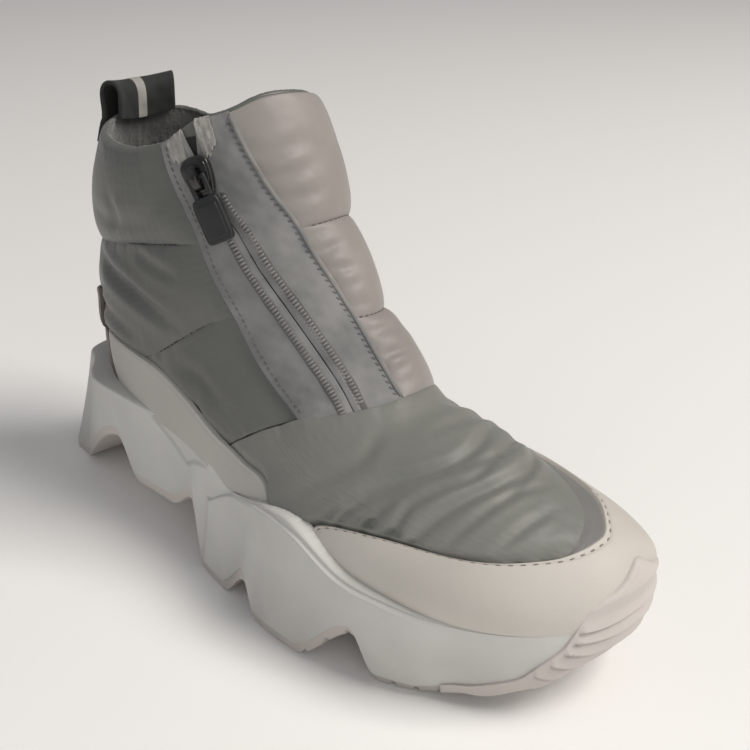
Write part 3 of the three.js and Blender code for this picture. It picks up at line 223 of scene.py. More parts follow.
@dataclass(frozen=True)
class Last:
    """The form that the upper stands on, with the quilting's height over it.

    Attributes:
        half_length: half the last's length.
        width: the foot's width.
        feather: height of the feather line.
        height: height of the upper over the feather line.
        origin: where the last's own zero lies in the part's frame.
        clearance: gap between neighbouring layers.
        cap: thickness of the toe cap.
        rand: thickness of the heel rand.
        wall: how far the lining lies inside the form.
        puff: height of the fullest quilted bay.
    """

    half_length: float = 145.0
    width: float = 92.0
    feather: float = 38.0
    height: float = 145.0
    origin: Place = (2.85, 4.104, 0.0)
    clearance: float = 0.35
    cap: float = 1.5
    rand: float = 1.6
    wall: float = 2.4
    puff: float = 3.2

    def column(self, index: int, level: Array) -> Array:
        """A column of the sections between levels, by the cubic whose slopes join each row's neighbours."""
        table = np.array(SECTIONS)[:, index]
        last = len(table) - 1
        level = np.asarray(level, float)
        k = np.clip(np.floor(np.clip(level, 0, last)).astype(int), 0, last - 1)
        t = np.clip(level - k, 0.0, 1.0)
        p0, p1, p2, p3 = (table[np.clip(k + step, 0, last)] for step in (-1, 0, 1, 2))
        cubic = (3 * p1 - p0 - 3 * p2 + p3) * t**3
        return 0.5 * (2 * p1 + (p2 - p0) * t + (2 * p0 - 5 * p1 + 4 * p2 - p3) * t**2 + cubic)

    def skin(self, level: Array, turn: Array) -> Array:
        """Points of the plain form: each section is an oval from its front point to its back point."""
        angle = np.radians(turn)
        cos, sin = np.cos(angle), np.sin(angle)
        widest = self.column(6, level)
        full = np.where(cos > 0, self.column(7, level), self.column(8, level))
        share = widest + np.where(cos > 0, 1 - widest, widest) * cos * (1 + full * sin * sin)
        half = self.width * np.where(sin > 0, self.column(5, level), self.column(4, level))
        x = self.half_length * blend(self.column(2, level), self.column(0, level), share)
        y = self.width * self.column(9, level) + half * sin * (1 + full * cos * cos)
        z = self.feather + self.height * blend(self.column(3, level), self.column(1, level), share)
        return np.stack([x, y, z], -1) + np.array(self.origin)

    def normal(self, level: Array, turn: Array) -> Array:
        """Outward normals: small steps across and along, crossed, and turned to the front at the tip."""
        level, turn = np.broadcast_arrays(np.asarray(level, float), np.asarray(turn, float))
        at = np.clip(level, 0.2, len(SECTIONS) - 1.05)
        along = self.skin(at + 0.04, turn) - self.skin(at - 0.04, turn)
        across = self.skin(at, turn + 2.3) - self.skin(at, turn - 2.3)
        normal = unit(np.cross(across, along))
        tip = np.clip(1 - level / 0.2, 0, 1)[..., None]
        return unit(blend(normal, np.array([1.0, 0.0, 0.0]), tip))

    def rand_top(self, along: Array) -> Array:
        """Height of the heel rand's top edge."""
        return self.feather + self.height * RAND_HIGH(along)

    def rand_step(self, level: Array, turn: Array) -> Array:
        """How far a place lies under the heel rand: 0 just above its top edge and 1 below it."""
        point = self.skin(level, turn) - np.array(self.origin)
        top = self.rand_top(np.clip(point[..., 0] / self.half_length, *RAND_ENDS))
        inside = (np.abs(wrap(turn)) >= 70) & (np.asarray(level) >= 6.6)
        return np.where(inside, 1 - smooth(point[..., 2] - top, -2, 5), 0.0)

    def beside_front(self, level: Array, turn: Array) -> Array:
        """0 on the front panels, which rises to 1 beside them."""
        up = np.maximum(level, 7)
        return smooth(np.maximum(PLACKET_OUTER(up) - turn, turn - BAFFLE_INNER(up)), 0, FRONT_FADE)

    def quilt(self, level: Array, turn: Array) -> Array:
        """Height of the quilting: pillows in the bays, flat under the front and sunk under overlays."""
        level, turn = np.broadcast_arrays(np.asarray(level, float), wrap(turn))
        seams = np.stack([line(turn) for line in (CAP_TOP, *QUILT_SEAMS)])
        bay = (level > seams[1]).astype(int) + (level > seams[2]) + (level > seams[3])
        low = np.take_along_axis(seams, bay[None], 0)[0]
        high = np.take_along_axis(seams, bay[None] + 1, 0)[0]
        share = np.clip((level - low) / (high - low), 0, 1)
        full = pillow(share)
        full = np.where((bay == 3) & (share > 0.5), np.maximum(full, 0.3 + 0.7 * full), full)
        sideways = np.where(level < seams[1], 1.0, self.beside_front(level, turn))
        ledge = np.where(bay == 0, -(self.clearance + self.cap) * (1 - smooth(share, 0, 0.12)), 0.0)
        step = self.rand_step(level, turn)
        lofts = np.array([0.35, 0.45, 0.75, 1.0])[bay]
        lift = (self.puff * lofts * full * sideways + ledge) * (1 - step)
        lift = lift - (self.clearance + self.rand) * step
        strip = smooth(np.abs(turn), 121, 130) * (1 - smooth(level, 11.1, 11.7))
        lift = np.where((level > 9) & (lift > 0), blend(lift, 0.1 * lift, strip), lift)
        return np.where(level <= seams[0], -self.clearance - self.cap, lift)

    def at(self, level: Array, turn: Array, lift: Array) -> Array:
        """Points at a height over the plain form."""
        return self.skin(level, turn) + self.normal(level, turn) * np.asarray(lift)[..., None]


def unit(vector: Array) -> Array:
    """Vectors of length one."""
    return vector / np.maximum(np.linalg.norm(vector, axis=-1, keepdims=True), 1e-9)


def pillow(share: Array) -> Array:
    """A pillow that is 0 on both edges of a bay and 1 in its middle."""
    return np.maximum(0.0, 4 * share * (1 - share)) ** 0.6


def three_bays(shares: Array) -> tuple[Array, Array]:
    """Rows of three bays that share the rows where they meet.

    Args:
        shares: shares up one bay, from 0 to 1.

    Returns:
        Each row's bay, and a column of each row's share of it.
    """
    bay = np.repeat([0, 1, 2], [len(shares) - 1, len(shares) - 1, len(shares)])
    return bay, np.concatenate([shares[:-1], shares[:-1], shares])[:, None]


LAST = Last()


@dataclass(frozen=True)
class Crease:
    """A soft trough in the cloth with a low ridge on each side.

    Attributes:
        places: levels and turns along it.
        width: distance from its middle to where it turns up, in millimetres.
        depth: how deep it is, or how high where negative, in millimetres.
    """

    places: Rows
    width: float
    depth: float

    def lift(self, points: Array) -> Array:
        """Height change at points: a wavelet of the distance to the path, which fades to the path's ends."""
        level, turn = np.array(self.places).T
        share = np.linspace(0, len(level) - 1, 40)
        knots = np.arange(len(level))
        level = Curve(tuple(zip(knots, level)))(share)
        turn = Curve(tuple(zip(knots, turn)))(share)
        path = LAST.skin(level, turn)
        shape = points.shape[:-1]
        flat = points.reshape(-1, 3)
        nearest = np.full(len(flat), 1e9)
        along = np.zeros(len(flat))
        for k in range(len(path) - 1):
            step = path[k + 1] - path[k]
            t = np.clip((flat - path[k]) @ step / (step @ step), 0, 1)
            away = np.linalg.norm(flat - path[k] - t[:, None] * step, axis=1)
            closer = away < nearest
            nearest = np.where(closer, away, nearest)
            along = np.where(closer, (k + t) / (len(path) - 1), along)
        reach = nearest / self.width
        fade = np.sqrt(np.maximum(np.sin(np.pi * np.clip(along, 0.02, 0.98)), 0))
        return (-self.depth * (1 - reach**2) * np.exp(-(reach**2) / 2) * fade).reshape(shape)


def folded(skin: Array, creases: tuple[Crease, ...]) -> Array:
    """Height change at points of the plain form by all the creases."""
    return sum(crease.lift(skin) for crease in creases)


# Meshes


def mesh_object(
    name: str, points: Array, faces: Array, uv: Array | None = None, sharp: float = 40.0
) -> bpy.types.Object:
    """A mesh object at the origin.

    Args:
        name: the object's name.
        points: vertices in millimetres.
        faces: rows of four vertex numbers.
        uv: a place in metres for each corner of each face.
        sharp: edges that turn by more degrees than this are shaded as edges.

    Returns:
        The new object, linked to the scene.
    """
    mesh = bpy.data.meshes.new(name)
    mesh.vertices.add(len(points))
    mesh.vertices.foreach_set("co", (points * MM).astype(np.float32).ravel())
    count, corners = faces.shape
    mesh.loops.add(count * corners)
    mesh.polygons.add(count)
    mesh.loops.foreach_set("vertex_index", faces.astype(np.int32).ravel())
    mesh.polygons.foreach_set("loop_start", np.arange(0, count * corners, corners, dtype=np.int32))
    if uv is not None:
        layer = mesh.uv_layers.new(name="cloth")
        layer.data.foreach_set("uv", uv.astype(np.float32).ravel())
    mesh.update(calc_edges=True)
    mesh.validate()
    mesh.shade_smooth()
    mesh.set_sharp_from_angle(angle=math.radians(sharp))
    piece = bpy.data.objects.new(name, mesh)
    bpy.context.scene.collection.objects.link(piece)
    return piece


def grid_faces(
    rows: int, columns: int, round_rows: bool = False, round_columns: bool = False
) -> tuple[Array, Array]:
    """Quads of a grid of points.

    Returns:
        The quads, and the row and column of each of their corners, not wrapped.
    """
    every_row = np.arange(rows if round_rows else rows - 1)
    every_column = np.arange(columns if round_columns else columns - 1)
    r, c = np.meshgrid(every_row, every_column, indexing="ij")
    corner_rows = np.stack([r, r, r + 1, r + 1], -1).reshape(-1, 4)
    corner_columns = np.stack([c, c + 1, c + 1, c], -1).reshape(-1, 4)
    faces = (corner_rows % rows) * columns + corner_columns % columns
    return faces, np.stack([corner_rows, corner_columns], -1)


def grid_object(
    name: str, points: Array, facing: Array, round_columns: bool = False, sharp: float = 40.0
) -> bpy.types.Object:
    """A sheet from a grid of points, with its real lengths as its UV map.

    Args:
        name: the object's name.
        points: rows and columns of points.
        facing: outward directions at the points, which the faces are turned to.
        round_columns: True where the last column joins the first.
        sharp: edges that turn by more degrees than this are shaded as edges.

    Returns:
        The new object.
    """
    rows, columns = points.shape[:2]
    faces, corners = grid_faces(rows, columns, False, round_columns)
    flat = points.reshape(-1, 3)
    a, b, c, d = (flat[faces[:, k]] for k in range(4))
    turned = np.sum(np.cross(c - a, d - b) * facing.reshape(-1, 3)[faces[:, 0]]) < 0
    if turned:
        faces, corners = faces[:, ::-1], corners[:, ::-1]
    uv = real_lengths(points, round_columns)[corners[..., 0], corners[..., 1]]
    return mesh_object(name, flat, faces, uv, sharp)


def cloth_object(name: str, level: Array, turn: Array, lift: Array, sharp: float = 70.0) -> bpy.types.Object:
    """A sheet at heights over the plain form.

    Args:
        name: the object's name.
        level: the levels of the sheet's grid.
        turn: its turns.
        lift: its heights over the form.
        sharp: edges that turn by more degrees than this are shaded as edges.

    Returns:
        The new object.
    """
    return grid_object(name, LAST.at(level, turn, lift), LAST.normal(level, turn), False, sharp)


def real_lengths(points: Array, round_columns: bool = False) -> Array:
    """Distances in metres along the columns and up the rows of a grid, from its first corner."""
    if round_columns:
        points = np.concatenate([points, points[:, :1]], 1)
    across = np.linalg.norm(np.diff(points, axis=1), axis=-1).mean(0)
    up = np.linalg.norm(np.diff(points, axis=0), axis=-1).mean(1)
    u = np.concatenate([[0], np.cumsum(across)])
    v = np.concatenate([[0], np.cumsum(up)])
    return np.stack(np.broadcast_arrays(u[None, :], v[:, None]), -1) * MM


def slab_object(name: str, outer: Array, inner: Array) -> bpy.types.Object:
    """A closed slab between two grids, with round edges along its first and last row.

    Args:
        name: the object's name.
        outer: rows and columns of points on its face.
        inner: the same on its back.

    Returns:
        The new object.
    """

    def edge(row: int, inside: int) -> Array:
        middle = (outer[row] + inner[row]) / 2
        thick = np.linalg.norm(outer[row] - inner[row], axis=-1, keepdims=True)
        away = unit(outer[row] - outer[inside]) * thick / 2
        bow = (outer[row] - middle) * 0.72
        return np.stack([middle + bow + away * 0.72, middle + away, middle - bow + away * 0.72])

    loop = np.concatenate([outer, edge(-1, -2), inner[::-1], edge(0, 1)[::-1]])
    rows, columns = loop.shape[:2]
    faces, corners = grid_faces(rows, columns, True)
    uv = real_lengths(np.concatenate([loop, loop[:1]]))[corners[..., 0], corners[..., 1]]
    half = np.arange(1, rows // 2)
    for column in (0, columns - 1):
        ends = np.stack([half - 1, half, rows - 1 - half, rows - half], -1) % rows * columns + column
        faces = np.concatenate([faces, ends if column == 0 else ends[:, ::-1]])
        uv = np.concatenate([uv, np.zeros((len(ends), 4, 2))])
    flat = loop.reshape(-1, 3)
    a, b, c, d = (flat[faces[:, k]] for k in range(4))
    outward = a + b + c + d - 4 * flat.mean(0)
    if np.sum(np.cross(c - a, d - b) * outward) < 0:
        faces, uv = faces[:, ::-1], uv[:, ::-1]
    return mesh_object(name, flat, faces, uv, 50.0)


def bead(length: float, width: float, height: float) -> tuple[Array, Array]:
    """A small closed lozenge, widest in its middle, with its ends closed by quads.

    Returns:
        Its points and its faces.
    """
    sides = 6
    rings = np.array([[-0.5, 0.35], [-0.36, 0.85], [0.0, 1.0], [0.36, 0.85], [0.5, 0.35]])
    angle = np.arange(sides) * 2 * np.pi / sides
    x = np.repeat(rings[:, 0] * length, sides)
    y = (rings[:, 1:] * np.cos(angle)).ravel() * width / 2
    z = (rings[:, 1:] * np.sin(angle)).ravel() * height / 2
    faces, _ = grid_faces(len(rings), sides, False, True)
    caps = []
    for start, flip in ((0, False), ((len(rings) - 1) * sides, True)):
        for k in range(0, sides - 2, 2):
            quad = [start, start + k + 1, start + k + 2, start + (k + 3) % sides]
            caps.append(quad if flip else quad[::-1])
    return np.stack([x, y, z], -1), np.concatenate([faces, np.array(caps)])


def cord_object(name: str, path: Array, normals: Array, radius: float) -> bpy.types.Object:
    """A round cord along a path, drawn in to a point at both ends.

    Args:
        name: the object's name.
        path: points along its middle.
        normals: outward directions at them.
        radius: half its thickness.

    Returns:
        The new object.
    """
    sides = 8
    along = unit(np.gradient(path, axis=0))
    across = unit(np.cross(normals, along))
    out = np.cross(along, across)
    angle = np.linspace(0, 2 * np.pi, sides, endpoint=False)[None, :, None]
    thick = np.full((len(path), 1, 1), radius)
    thick[[0, -1]] = 0.01
    ring = np.cos(angle) * across[:, None] + np.sin(angle) * out[:, None]
    return grid_object(name, path[:, None] + ring * thick, ring, True, 80)


def path_frames(path: Array, normals: Array, pitch: float, slant: float = 0.0) -> tuple[Array, Array]:
    """Even places along a path, and a frame at each: along the path, across it and outwards.

    Args:
        path: points along the path.
        normals: outward directions at them.
        pitch: distance between places.
        slant: how far the frames turn about the outward direction, in degrees, uneven by a quarter.

    Returns:
        The places and the frames.
    """
    steps = np.linalg.norm(np.diff(path, axis=0), axis=1)
    length = np.concatenate([[0], np.cumsum(steps)])
    at = np.arange(pitch / 2, length[-1], pitch)

    def pick(values: Array, places: Array) -> Array:
        return np.stack([np.interp(places, length, values[:, k]) for k in range(3)], -1)

    along = unit(pick(path, at + 0.5) - pick(path, at - 0.5))
    out = unit(pick(normals, at))
    out = unit(out - along * np.sum(out * along, -1, keepdims=True))
    across = np.cross(out, along)
    uneven = np.random.default_rng(len(at)).uniform(0.75, 1.25, (len(at), 1))
    turn = np.radians(slant) * uneven
    leaning = along * np.cos(turn) + across * np.sin(turn)
    return pick(path, at), np.stack([leaning, np.cross(out, leaning), out], 1)


def repeated(
    name: str, size: Place, paths: list[tuple[Array, Array]], pitch: float, slant: float = 0.0
) -> bpy.types.Object:
    """One mesh of beads along paths.

    Args:
        name: the object's name.
        size: a bead's length, width and height.
        paths: each path's points and outward directions.
        pitch: distance between beads.
        slant: how far they turn about the outward direction, in degrees.

    Returns:
        The new object.
    """
    placed = [path_frames(path, normals, pitch, slant) for path, normals in paths]
    places = np.concatenate([at for at, _ in placed])
    frames = np.concatenate([frame for _, frame in placed])
    shape, faces = bead(*size)
    points = np.einsum("pk,nkj->npj", shape, frames) + places[:, None]
    numbers = faces[None] + (np.arange(len(places)) * len(shape))[:, None, None]
    return mesh_object(name, points.reshape(-1, 3), numbers.reshape(-1, 4), None, 60.0)


# Finishes


def linear(colour: str) -> tuple[float, float, float, float]:
    """The linear colour of an sRGB hex value."""
    parts = [int(colour[k : k + 2], 16) / 255 for k in (1, 3, 5)]
    turned = [c / 12.92 if c <= 0.04045 else ((c + 0.055) / 1.055) ** 2.4 for c in parts]
    return (*turned, 1.0)


def add_node(tree: bpy.types.NodeTree, kind: str, inputs: dict, **settings: object) -> bpy.types.Node:
    """Adds a node.

    Args:
        tree: the node tree.
        kind: the node's type.
        inputs: a value, or an output socket to link, for each input's name or number.
        **settings: the node's own properties.

    Returns:
        The new node.
    """
    node = tree.nodes.new(kind)
    for key, value in settings.items():
        setattr(node, key, value)
    for key, value in inputs.items():
        if isinstance(value, bpy.types.NodeSocket):
            tree.links.new(value, node.inputs[key])
        else:
            node.inputs[key].default_value = value
    return node


# The colour of the dust on the sole's foot.
GRIME = "#6f675e"


class Pattern(Enum):
    """How a surface's fine relief is made."""

    PLAIN_WEAVE = "plain weave"
    TWILL = "twill"
    PEBBLE = "pebble"
    FOAM = "foam"
    FLEECE = "fleece"
    SMOOTH = "smooth"


@dataclass(frozen=True)
class Finish:
    """A material of the boot.

    Attributes:
        name: the material's name.
        colour: its main colour.
        second: the colour that it varies towards.
        pattern: its fine relief.
        size: the relief's real size in millimetres.
        relief: how strong the relief is.
        roughness: the surface's mean roughness.
        sheen: how much its fibres catch light.
        coat: how strong its clear coat is.
        blotch: size of its uneven tone in millimetres.
        soil: how much the colour darkens towards the floor.
        crinkle: size of the cloth's small wrinkles in millimetres, or 0 for none.
    """

    name: str
    colour: str
    second: str
    pattern: Pattern
    size: float
    relief: float
    roughness: float
    sheen: float = 0.0
    coat: float = 0.0
    blotch: float = 25.0
    soil: float = 0.0
    crinkle: float = 0.0

    def height(self, tree: bpy.types.NodeTree, uv: Socket, place: Socket) -> Socket:
        """The relief's height: crossing threads, slanted ribs, pebbles, foam cells or brushed fibres."""
        scale = 1000 / self.size
        if self.pattern in (Pattern.PLAIN_WEAVE, Pattern.TWILL):
            slant = 0.78 if self.pattern is Pattern.TWILL else 0
            turned = add_node(tree, "ShaderNodeMapping", {"Vector": uv, "Rotation": (0, 0, slant)}).outputs[0]
            threads = {"Vector": turned, "Scale": scale / 20}
            kind = "ShaderNodeTexWave"
            warp = add_node(tree, kind, threads, wave_type="BANDS", bands_direction="X").outputs["Fac"]
            weft = add_node(tree, kind, threads, wave_type="BANDS", bands_direction="Y").outputs["Fac"]
            return add_node(tree, "ShaderNodeMath", {0: warp, 1: weft}, operation="MULTIPLY").outputs[0]
        if self.pattern in (Pattern.PEBBLE, Pattern.FOAM):
            cells = {"Vector": place, "Scale": scale, "Randomness": 0.9}
            return add_node(tree, "ShaderNodeTexVoronoi", cells).outputs["Distance"]
        detail = 8.0 if self.pattern is Pattern.FLEECE else 3.0
        fibres = {"Vector": place, "Scale": scale, "Detail": detail}
        return add_node(tree, "ShaderNodeTexNoise", fibres).outputs["Fac"]

    def material(self) -> bpy.types.Material:
        """Builds the material: an uneven tone, a fine relief and an uneven roughness."""
        made = bpy.data.materials.new(self.name)
        made.use_nodes = True
        tree = made.node_tree
        tree.nodes.clear()
        place = add_node(tree, "ShaderNodeTexCoord", {}).outputs["Object"]
        uv = add_node(tree, "ShaderNodeUVMap", {}, uv_map="cloth").outputs[0]
        uneven = {"Vector": place, "Scale": 1000 / self.blotch, "Detail": 5.0}
        tone = add_node(tree, "ShaderNodeTexNoise", uneven).outputs["Fac"]
        ramp = {"Value": tone, "From Min": 0.35, "From Max": 0.65}
        share = add_node(tree, "ShaderNodeMapRange", ramp)
        mix = {"Factor": share.outputs[0], "A": linear(self.colour), "B": linear(self.second)}
        colour = add_node(tree, "ShaderNodeMix", mix, data_type="RGBA").outputs[2]
        if self.soil:
            split = add_node(tree, "ShaderNodeSeparateXYZ", {"Vector": place})
            low = {"Value": split.outputs["Z"], "From Min": 0.03, "From Max": 0.0, "To Max": self.soil}
            grime = add_node(tree, "ShaderNodeMapRange", low)
            both = {0: grime.outputs[0], 1: tone}
            patchy = add_node(tree, "ShaderNodeMath", both, operation="MULTIPLY")
            mix = {"Factor": patchy.outputs[0], "A": colour, "B": linear(GRIME)}
            colour = add_node(tree, "ShaderNodeMix", mix, data_type="RGBA").outputs[2]
        wear = {"Value": tone, "To Min": self.roughness - 0.08, "To Max": self.roughness + 0.08}
        rough = add_node(tree, "ShaderNodeMapRange", wear)
        bump = {"Height": self.height(tree, uv, place), "Strength": self.relief}
        bump["Distance"] = self.size * MM * 0.3
        if self.crinkle:
            stretch = {"Vector": uv, "Rotation": (0, 0, 0.5), "Scale": (1, 0.6, 1)}
            wave = {"Vector": add_node(tree, "ShaderNodeMapping", stretch).outputs[0]}
            wave |= {"Scale": 1000 / self.crinkle, "Detail": 4.0, "Distortion": 0.6}
            folds = add_node(tree, "ShaderNodeTexNoise", wave)
            soft = {"Height": folds.outputs["Fac"], "Strength": 0.22, "Distance": 0.0012}
            bump["Normal"] = add_node(tree, "ShaderNodeBump", soft).outputs[0]
        relief = add_node(tree, "ShaderNodeBump", bump)
        inputs = {"Base Color": colour, "Roughness": rough.outputs[0], "Normal": relief.outputs[0]}
        inputs |= {"Sheen Weight": self.sheen, "Sheen Roughness": 0.45}
        inputs |= {"Coat Weight": self.coat, "Coat Roughness": 0.25}
        shader = add_node(tree, "ShaderNodeBsdfPrincipled", inputs)
        add_node(tree, "ShaderNodeOutputMaterial", {"Surface": shader.outputs[0]})
        return made


# Smooth nylon shell cloth of the vamp, with the soft shine of its dense weave.
NYLON = Finish(
    "satin_nylon", "#7f7f79", "#757671", Pattern.PLAIN_WEAVE, 0.7, 0.25, 0.52, 0.2, blotch=40, crinkle=9
)
# The same cloth on shaft and quarter, painted darker than the vamp's to stand for the shade on the sides that
# face away from the light.
NYLON_SHADED = replace(
    NYLON, name="satin_nylon_shaft_painted_shade", colour="#696a65", second="#5f605c", roughness=0.42, sheen=0.1
)
# The warmer nylon of the padded bays beside the zip.
NYLON_WARM = replace(
    NYLON, name="satin_nylon_front", colour="#97918c", second="#8d8782",
    relief=0.2, roughness=0.5, sheen=0.15, crinkle=8,
)
# Matt nylon of the narrow insert at the toe.
NYLON_INSERT = Finish(
    "plain_nylon_insert", "#7d7c79", "#737270", Pattern.PLAIN_WEAVE, 0.8, 0.35, 0.6, 0.1, blotch=30
)
# Woven tape of the placket, mottled by wear.
TAPE = Finish("woven_zip_tape", "#8b8a88", "#707170", Pattern.TWILL, 1.0, 0.5, 0.8, 0.2, blotch=16)
# The tape that the coil's bars stand on, painted darker to stand for the shade in the gaps between the bars.
TAPE_SHADE = Finish("woven_tape_painted_shade", "#696967", "#5d5d5b", Pattern.TWILL, 0.8, 0.4, 0.85, 0.1, blotch=10)
# The tape's frayed ends.
TAPE_END = Finish("frayed_tape_end", "#a19f9a", "#8a8884", Pattern.FLEECE, 0.9, 0.8, 0.9, 0.3, blotch=4)
# Coated textile of the toe cap, nearly smooth.
COATED = Finish("coated_textile", "#cdc8c0", "#c5c0b8", Pattern.PEBBLE, 0.9, 0.12, 0.6, blotch=60)
# The same coating on the heel's bands, greyer, and painted darker than the cap to stand for the shade at the
# heel.
RAND = Finish("coated_textile_heel_painted_shade", "#bab8b2", "#b1afa9", Pattern.PEBBLE, 0.9, 0.14, 0.62, blotch=50)
# Brown coated strip at the back of the heel; its dark tone is partly painted shade, as the heel's back faces
# away from the light.
HEEL_STRIP_AND_SHADE = Finish("heel_strip_leather_and_shade", "#6c5f57", "#5b504a", Pattern.PEBBLE, 0.8, 0.25, 0.5, blotch=12)
# Foam of the midsole, with a fine moulded grain.
FOAM = Finish("moulded_eva_foam", "#d0cfcb", "#c7c6c2", Pattern.FOAM, 0.8, 0.16, 0.72, blotch=45, soil=0.5)
# Rubber of tread and bumper.
RUBBER = Finish("moulded_rubber", "#cdc6c1", "#c3bcb7", Pattern.SMOOTH, 1.6, 0.1, 0.55, blotch=50, soil=0.5)
# Brushed fleece inside the boot.
FLEECE = Finish("fleece_lining", "#6a6a66", "#555552", Pattern.FLEECE, 1.6, 0.9, 0.95, 0.5, blotch=8)
# Dark ribbed webbing of the pull loop.
WEBBING = Finish("webbing", "#2d2f2d", "#252624", Pattern.TWILL, 1.2, 0.8, 0.85, 0.1, blotch=10)
# The pale stripe woven into it.
WEBBING_STRIPE = replace(WEBBING, name="webbing_stripe", colour="#a9a6a0", second="#97948e", sheen=0.2)
# Black paint on the zinc slider.
PAINTED = Finish("painted_zinc", "#0f0e0e", "#171615", Pattern.SMOOTH, 1.0, 0.05, 0.28, coat=0.5, blotch=10)
# Moulded soft plastic of the pull tab.
TAB_PLASTIC = Finish("moulded_tab_plastic", "#1c1e1f", "#232526", Pattern.SMOOTH, 0.8, 0.15, 0.42, blotch=10)
# Nylon bars of the coil.
COIL = Finish("nylon_coil", "#8d8b88", "#7d7b78", Pattern.SMOOTH, 0.5, 0.1, 0.4, blotch=6)
# Thread of the cap's seam.
THREAD = Finish("twisted_thread", "#8f887e", "#7c756c", Pattern.SMOOTH, 0.4, 0.4, 0.7, 0.2, blotch=4)
# Grey thread of the placket's seams.
THREAD_DARK = replace(THREAD, name="twisted_thread_grey", colour="#6a6a67", second="#565654")
# Dark thread in the quilting's seams.
THREAD_DEEP = replace(THREAD, name="quilting_thread", colour="#454542", second="#383836", sheen=0.0)
# Thread in the seams of the padded front.
THREAD_WARM = replace(THREAD_DEEP, name="quilting_thread_front", colour="#5f5955", second="#524d49")
# Brushed cloth on the footbed.
INSOLE_CLOTH = Finish("insole_cloth", "#4a4a48", "#3d3d3b", Pattern.FLEECE, 1.2, 0.6, 0.95, 0.3, blotch=10)


class Wardrobe:
    """Makes each finish once and puts pieces on the frame."""

    def __init__(self) -> None:
        """Starts with no finish made."""
        self.made: dict[str, bpy.types.Material] = {}

    def dress(
        self, piece: bpy.types.Object, finish: Finish, slot: str,
        body: str = "boot", nodes: tuple[str, ...] = (),
    ) -> bpy.types.Object:
        """Gives a piece its finish and its place on the frame.

        Args:
            piece: the object.
            finish: its material.
            slot: the record's material slot; not used.
            body: the body that it rides on.
            nodes: the CAD nodes that it stands for.

        Returns:
            The same object.
        """
        if finish.name not in self.made:
            self.made[finish.name] = finish.material()
        piece.data.materials.clear()
        piece.data.materials.append(self.made[finish.name])
        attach(piece, body)
        if nodes:
            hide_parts(*nodes)
        log.info("%s: %d faces in %s", piece.name, len(piece.data.polygons), finish.name)
        return piece


# The sole's outline and heights, at shares of half its length. Widths are shares of the ball's width.
SOLE_OUTER = Curve((
    (-1, 0.235), (-0.93, 0.235), (-0.8, 0.315), (-0.7, 0.355), (-0.5, 0.38), (-0.25, 0.4), (0, 0.458),
    (0.2, 0.522), (0.38, 0.543), (0.55, 0.52), (0.72, 0.483), (0.86, 0.448), (1, 0.44),
))
SOLE_INNER = Curve((
    (-1, 0.225), (-0.93, 0.225), (-0.8, 0.3), (-0.7, 0.33), (-0.5, 0.325), (-0.25, 0.315), (0, 0.365),
    (0.2, 0.43), (0.38, 0.47), (0.55, 0.46), (0.72, 0.415), (0.86, 0.385), (1, 0.37),
))
FOOT_FLARE = Curve((
    (-1, 4), (-0.93, 0.5), (-0.8, 0.5), (-0.35, 1), (-0.05, 6), (0.3, 4.5), (0.5, -2), (0.72, -6.5),
    (0.86, -5), (1, -9),
))
LIP_FLARE = Curve(((-1, 0), (-0.93, 1), (-0.8, 2.5), (-0.35, 0), (-0.05, 0), (1, 0)))
LIP_LINE = Curve((
    (-1, 1.15), (-0.75, 1.06), (-0.46, 1.03), (-0.28, 0.95), (-0.14, 0.65), (-0.04, 0.35), (0.04, 0.44),
    (0.12, 0.64), (0.22, 0.78), (0.29, 0.66), (0.42, 0.2), (0.54, 0.06), (0.7, -0.04), (1, 0.05),
))
NOTCHES = Curve((
    (-1, 0.2), (-0.98, 0), (-0.93, 0), (-0.6, 1.35), (-0.505, 0), (-0.34, 0), (-0.21, 1.05), (-0.15, 0),
    (-0.03, 0), (0.085, 0.9), (0.14, 0), (0.29, 0), (0.45, 1.12), (0.52, 0), (1, 0),
), eased=True)
ARCH_LIFT = Curve((
    (-1, 0), (-0.93, 0), (-0.6, 0.75), (-0.505, 1), (-0.34, 1.05), (-0.21, 0.75), (-0.15, 0), (1, 0),
), eased=True)
TOE_LIFT = Curve(((-1, 0), (0.6, 0), (0.75, 0.28), (0.88, 0.68), (1, 1)), eased=True)
FRONT_BORDER = Curve((
    (-0.124, 32), (-0.076, 37), (-0.028, 41), (0.034, 44), (0.12, 46.5), (0.2, 47.5), (0.28, 46), (0.42, 38),
    (0.54, 36), (0.7, 34.5), (0.9, 35.5),
))
BUMPER_EDGE = Curve((
    (0.68, 0.13), (0.73, 0.17), (0.8, 0.25), (0.849, 0.31), (0.879, 0.4), (0.904, 0.47), (0.926, 0.545),
    (0.938, 0.626), (0.945, 0.69), (0.951, 0.75), (0.958, 0.79), (0.97, 0.815), (0.987, 0.85), (0.994, 0.88),
    (0.998, 0.92), (1, 0.955),
))
# Heights of the bumper's ribs, and where each one starts and ends along the foot.
BUMPER_RIBS = (
    (Curve(((0.94, 37.8), (0.972, 37.8), (0.99, 38.4), (1, 39))), 0.943, 1.2),
    (Curve(((0.93, 34), (0.969, 32.9), (0.99, 32.6), (1, 33))), 0.937, 1.2),
    (Curve(((0.92, 30), (0.935, 28.9), (0.969, 26.5), (0.989, 26), (1, 26.4))), 0.925, 1.2),
    (Curve(((0.9, 25.6), (0.912, 24.3), (0.943, 21.2), (0.967, 19.6), (0.988, 19))), 0.903, 0.985),
    (Curve(((0.87, 21), (0.879, 20.2), (0.904, 17.8), (0.922, 16.6), (0.94, 15.8))), 0.872, 0.945),
)
# The lower border of the recessed face above the arch notch.
ARCH_FACET = Curve((
    (-0.46, 56), (-0.446, 54.9), (-0.372, 49.1), (-0.307, 44.1), (-0.262, 40.4), (-0.243, 39.8),
    (-0.225, 41.4), (-0.203, 42.6), (-0.161, 43.3), (-0.138, 41.6), (-0.12, 37),
))


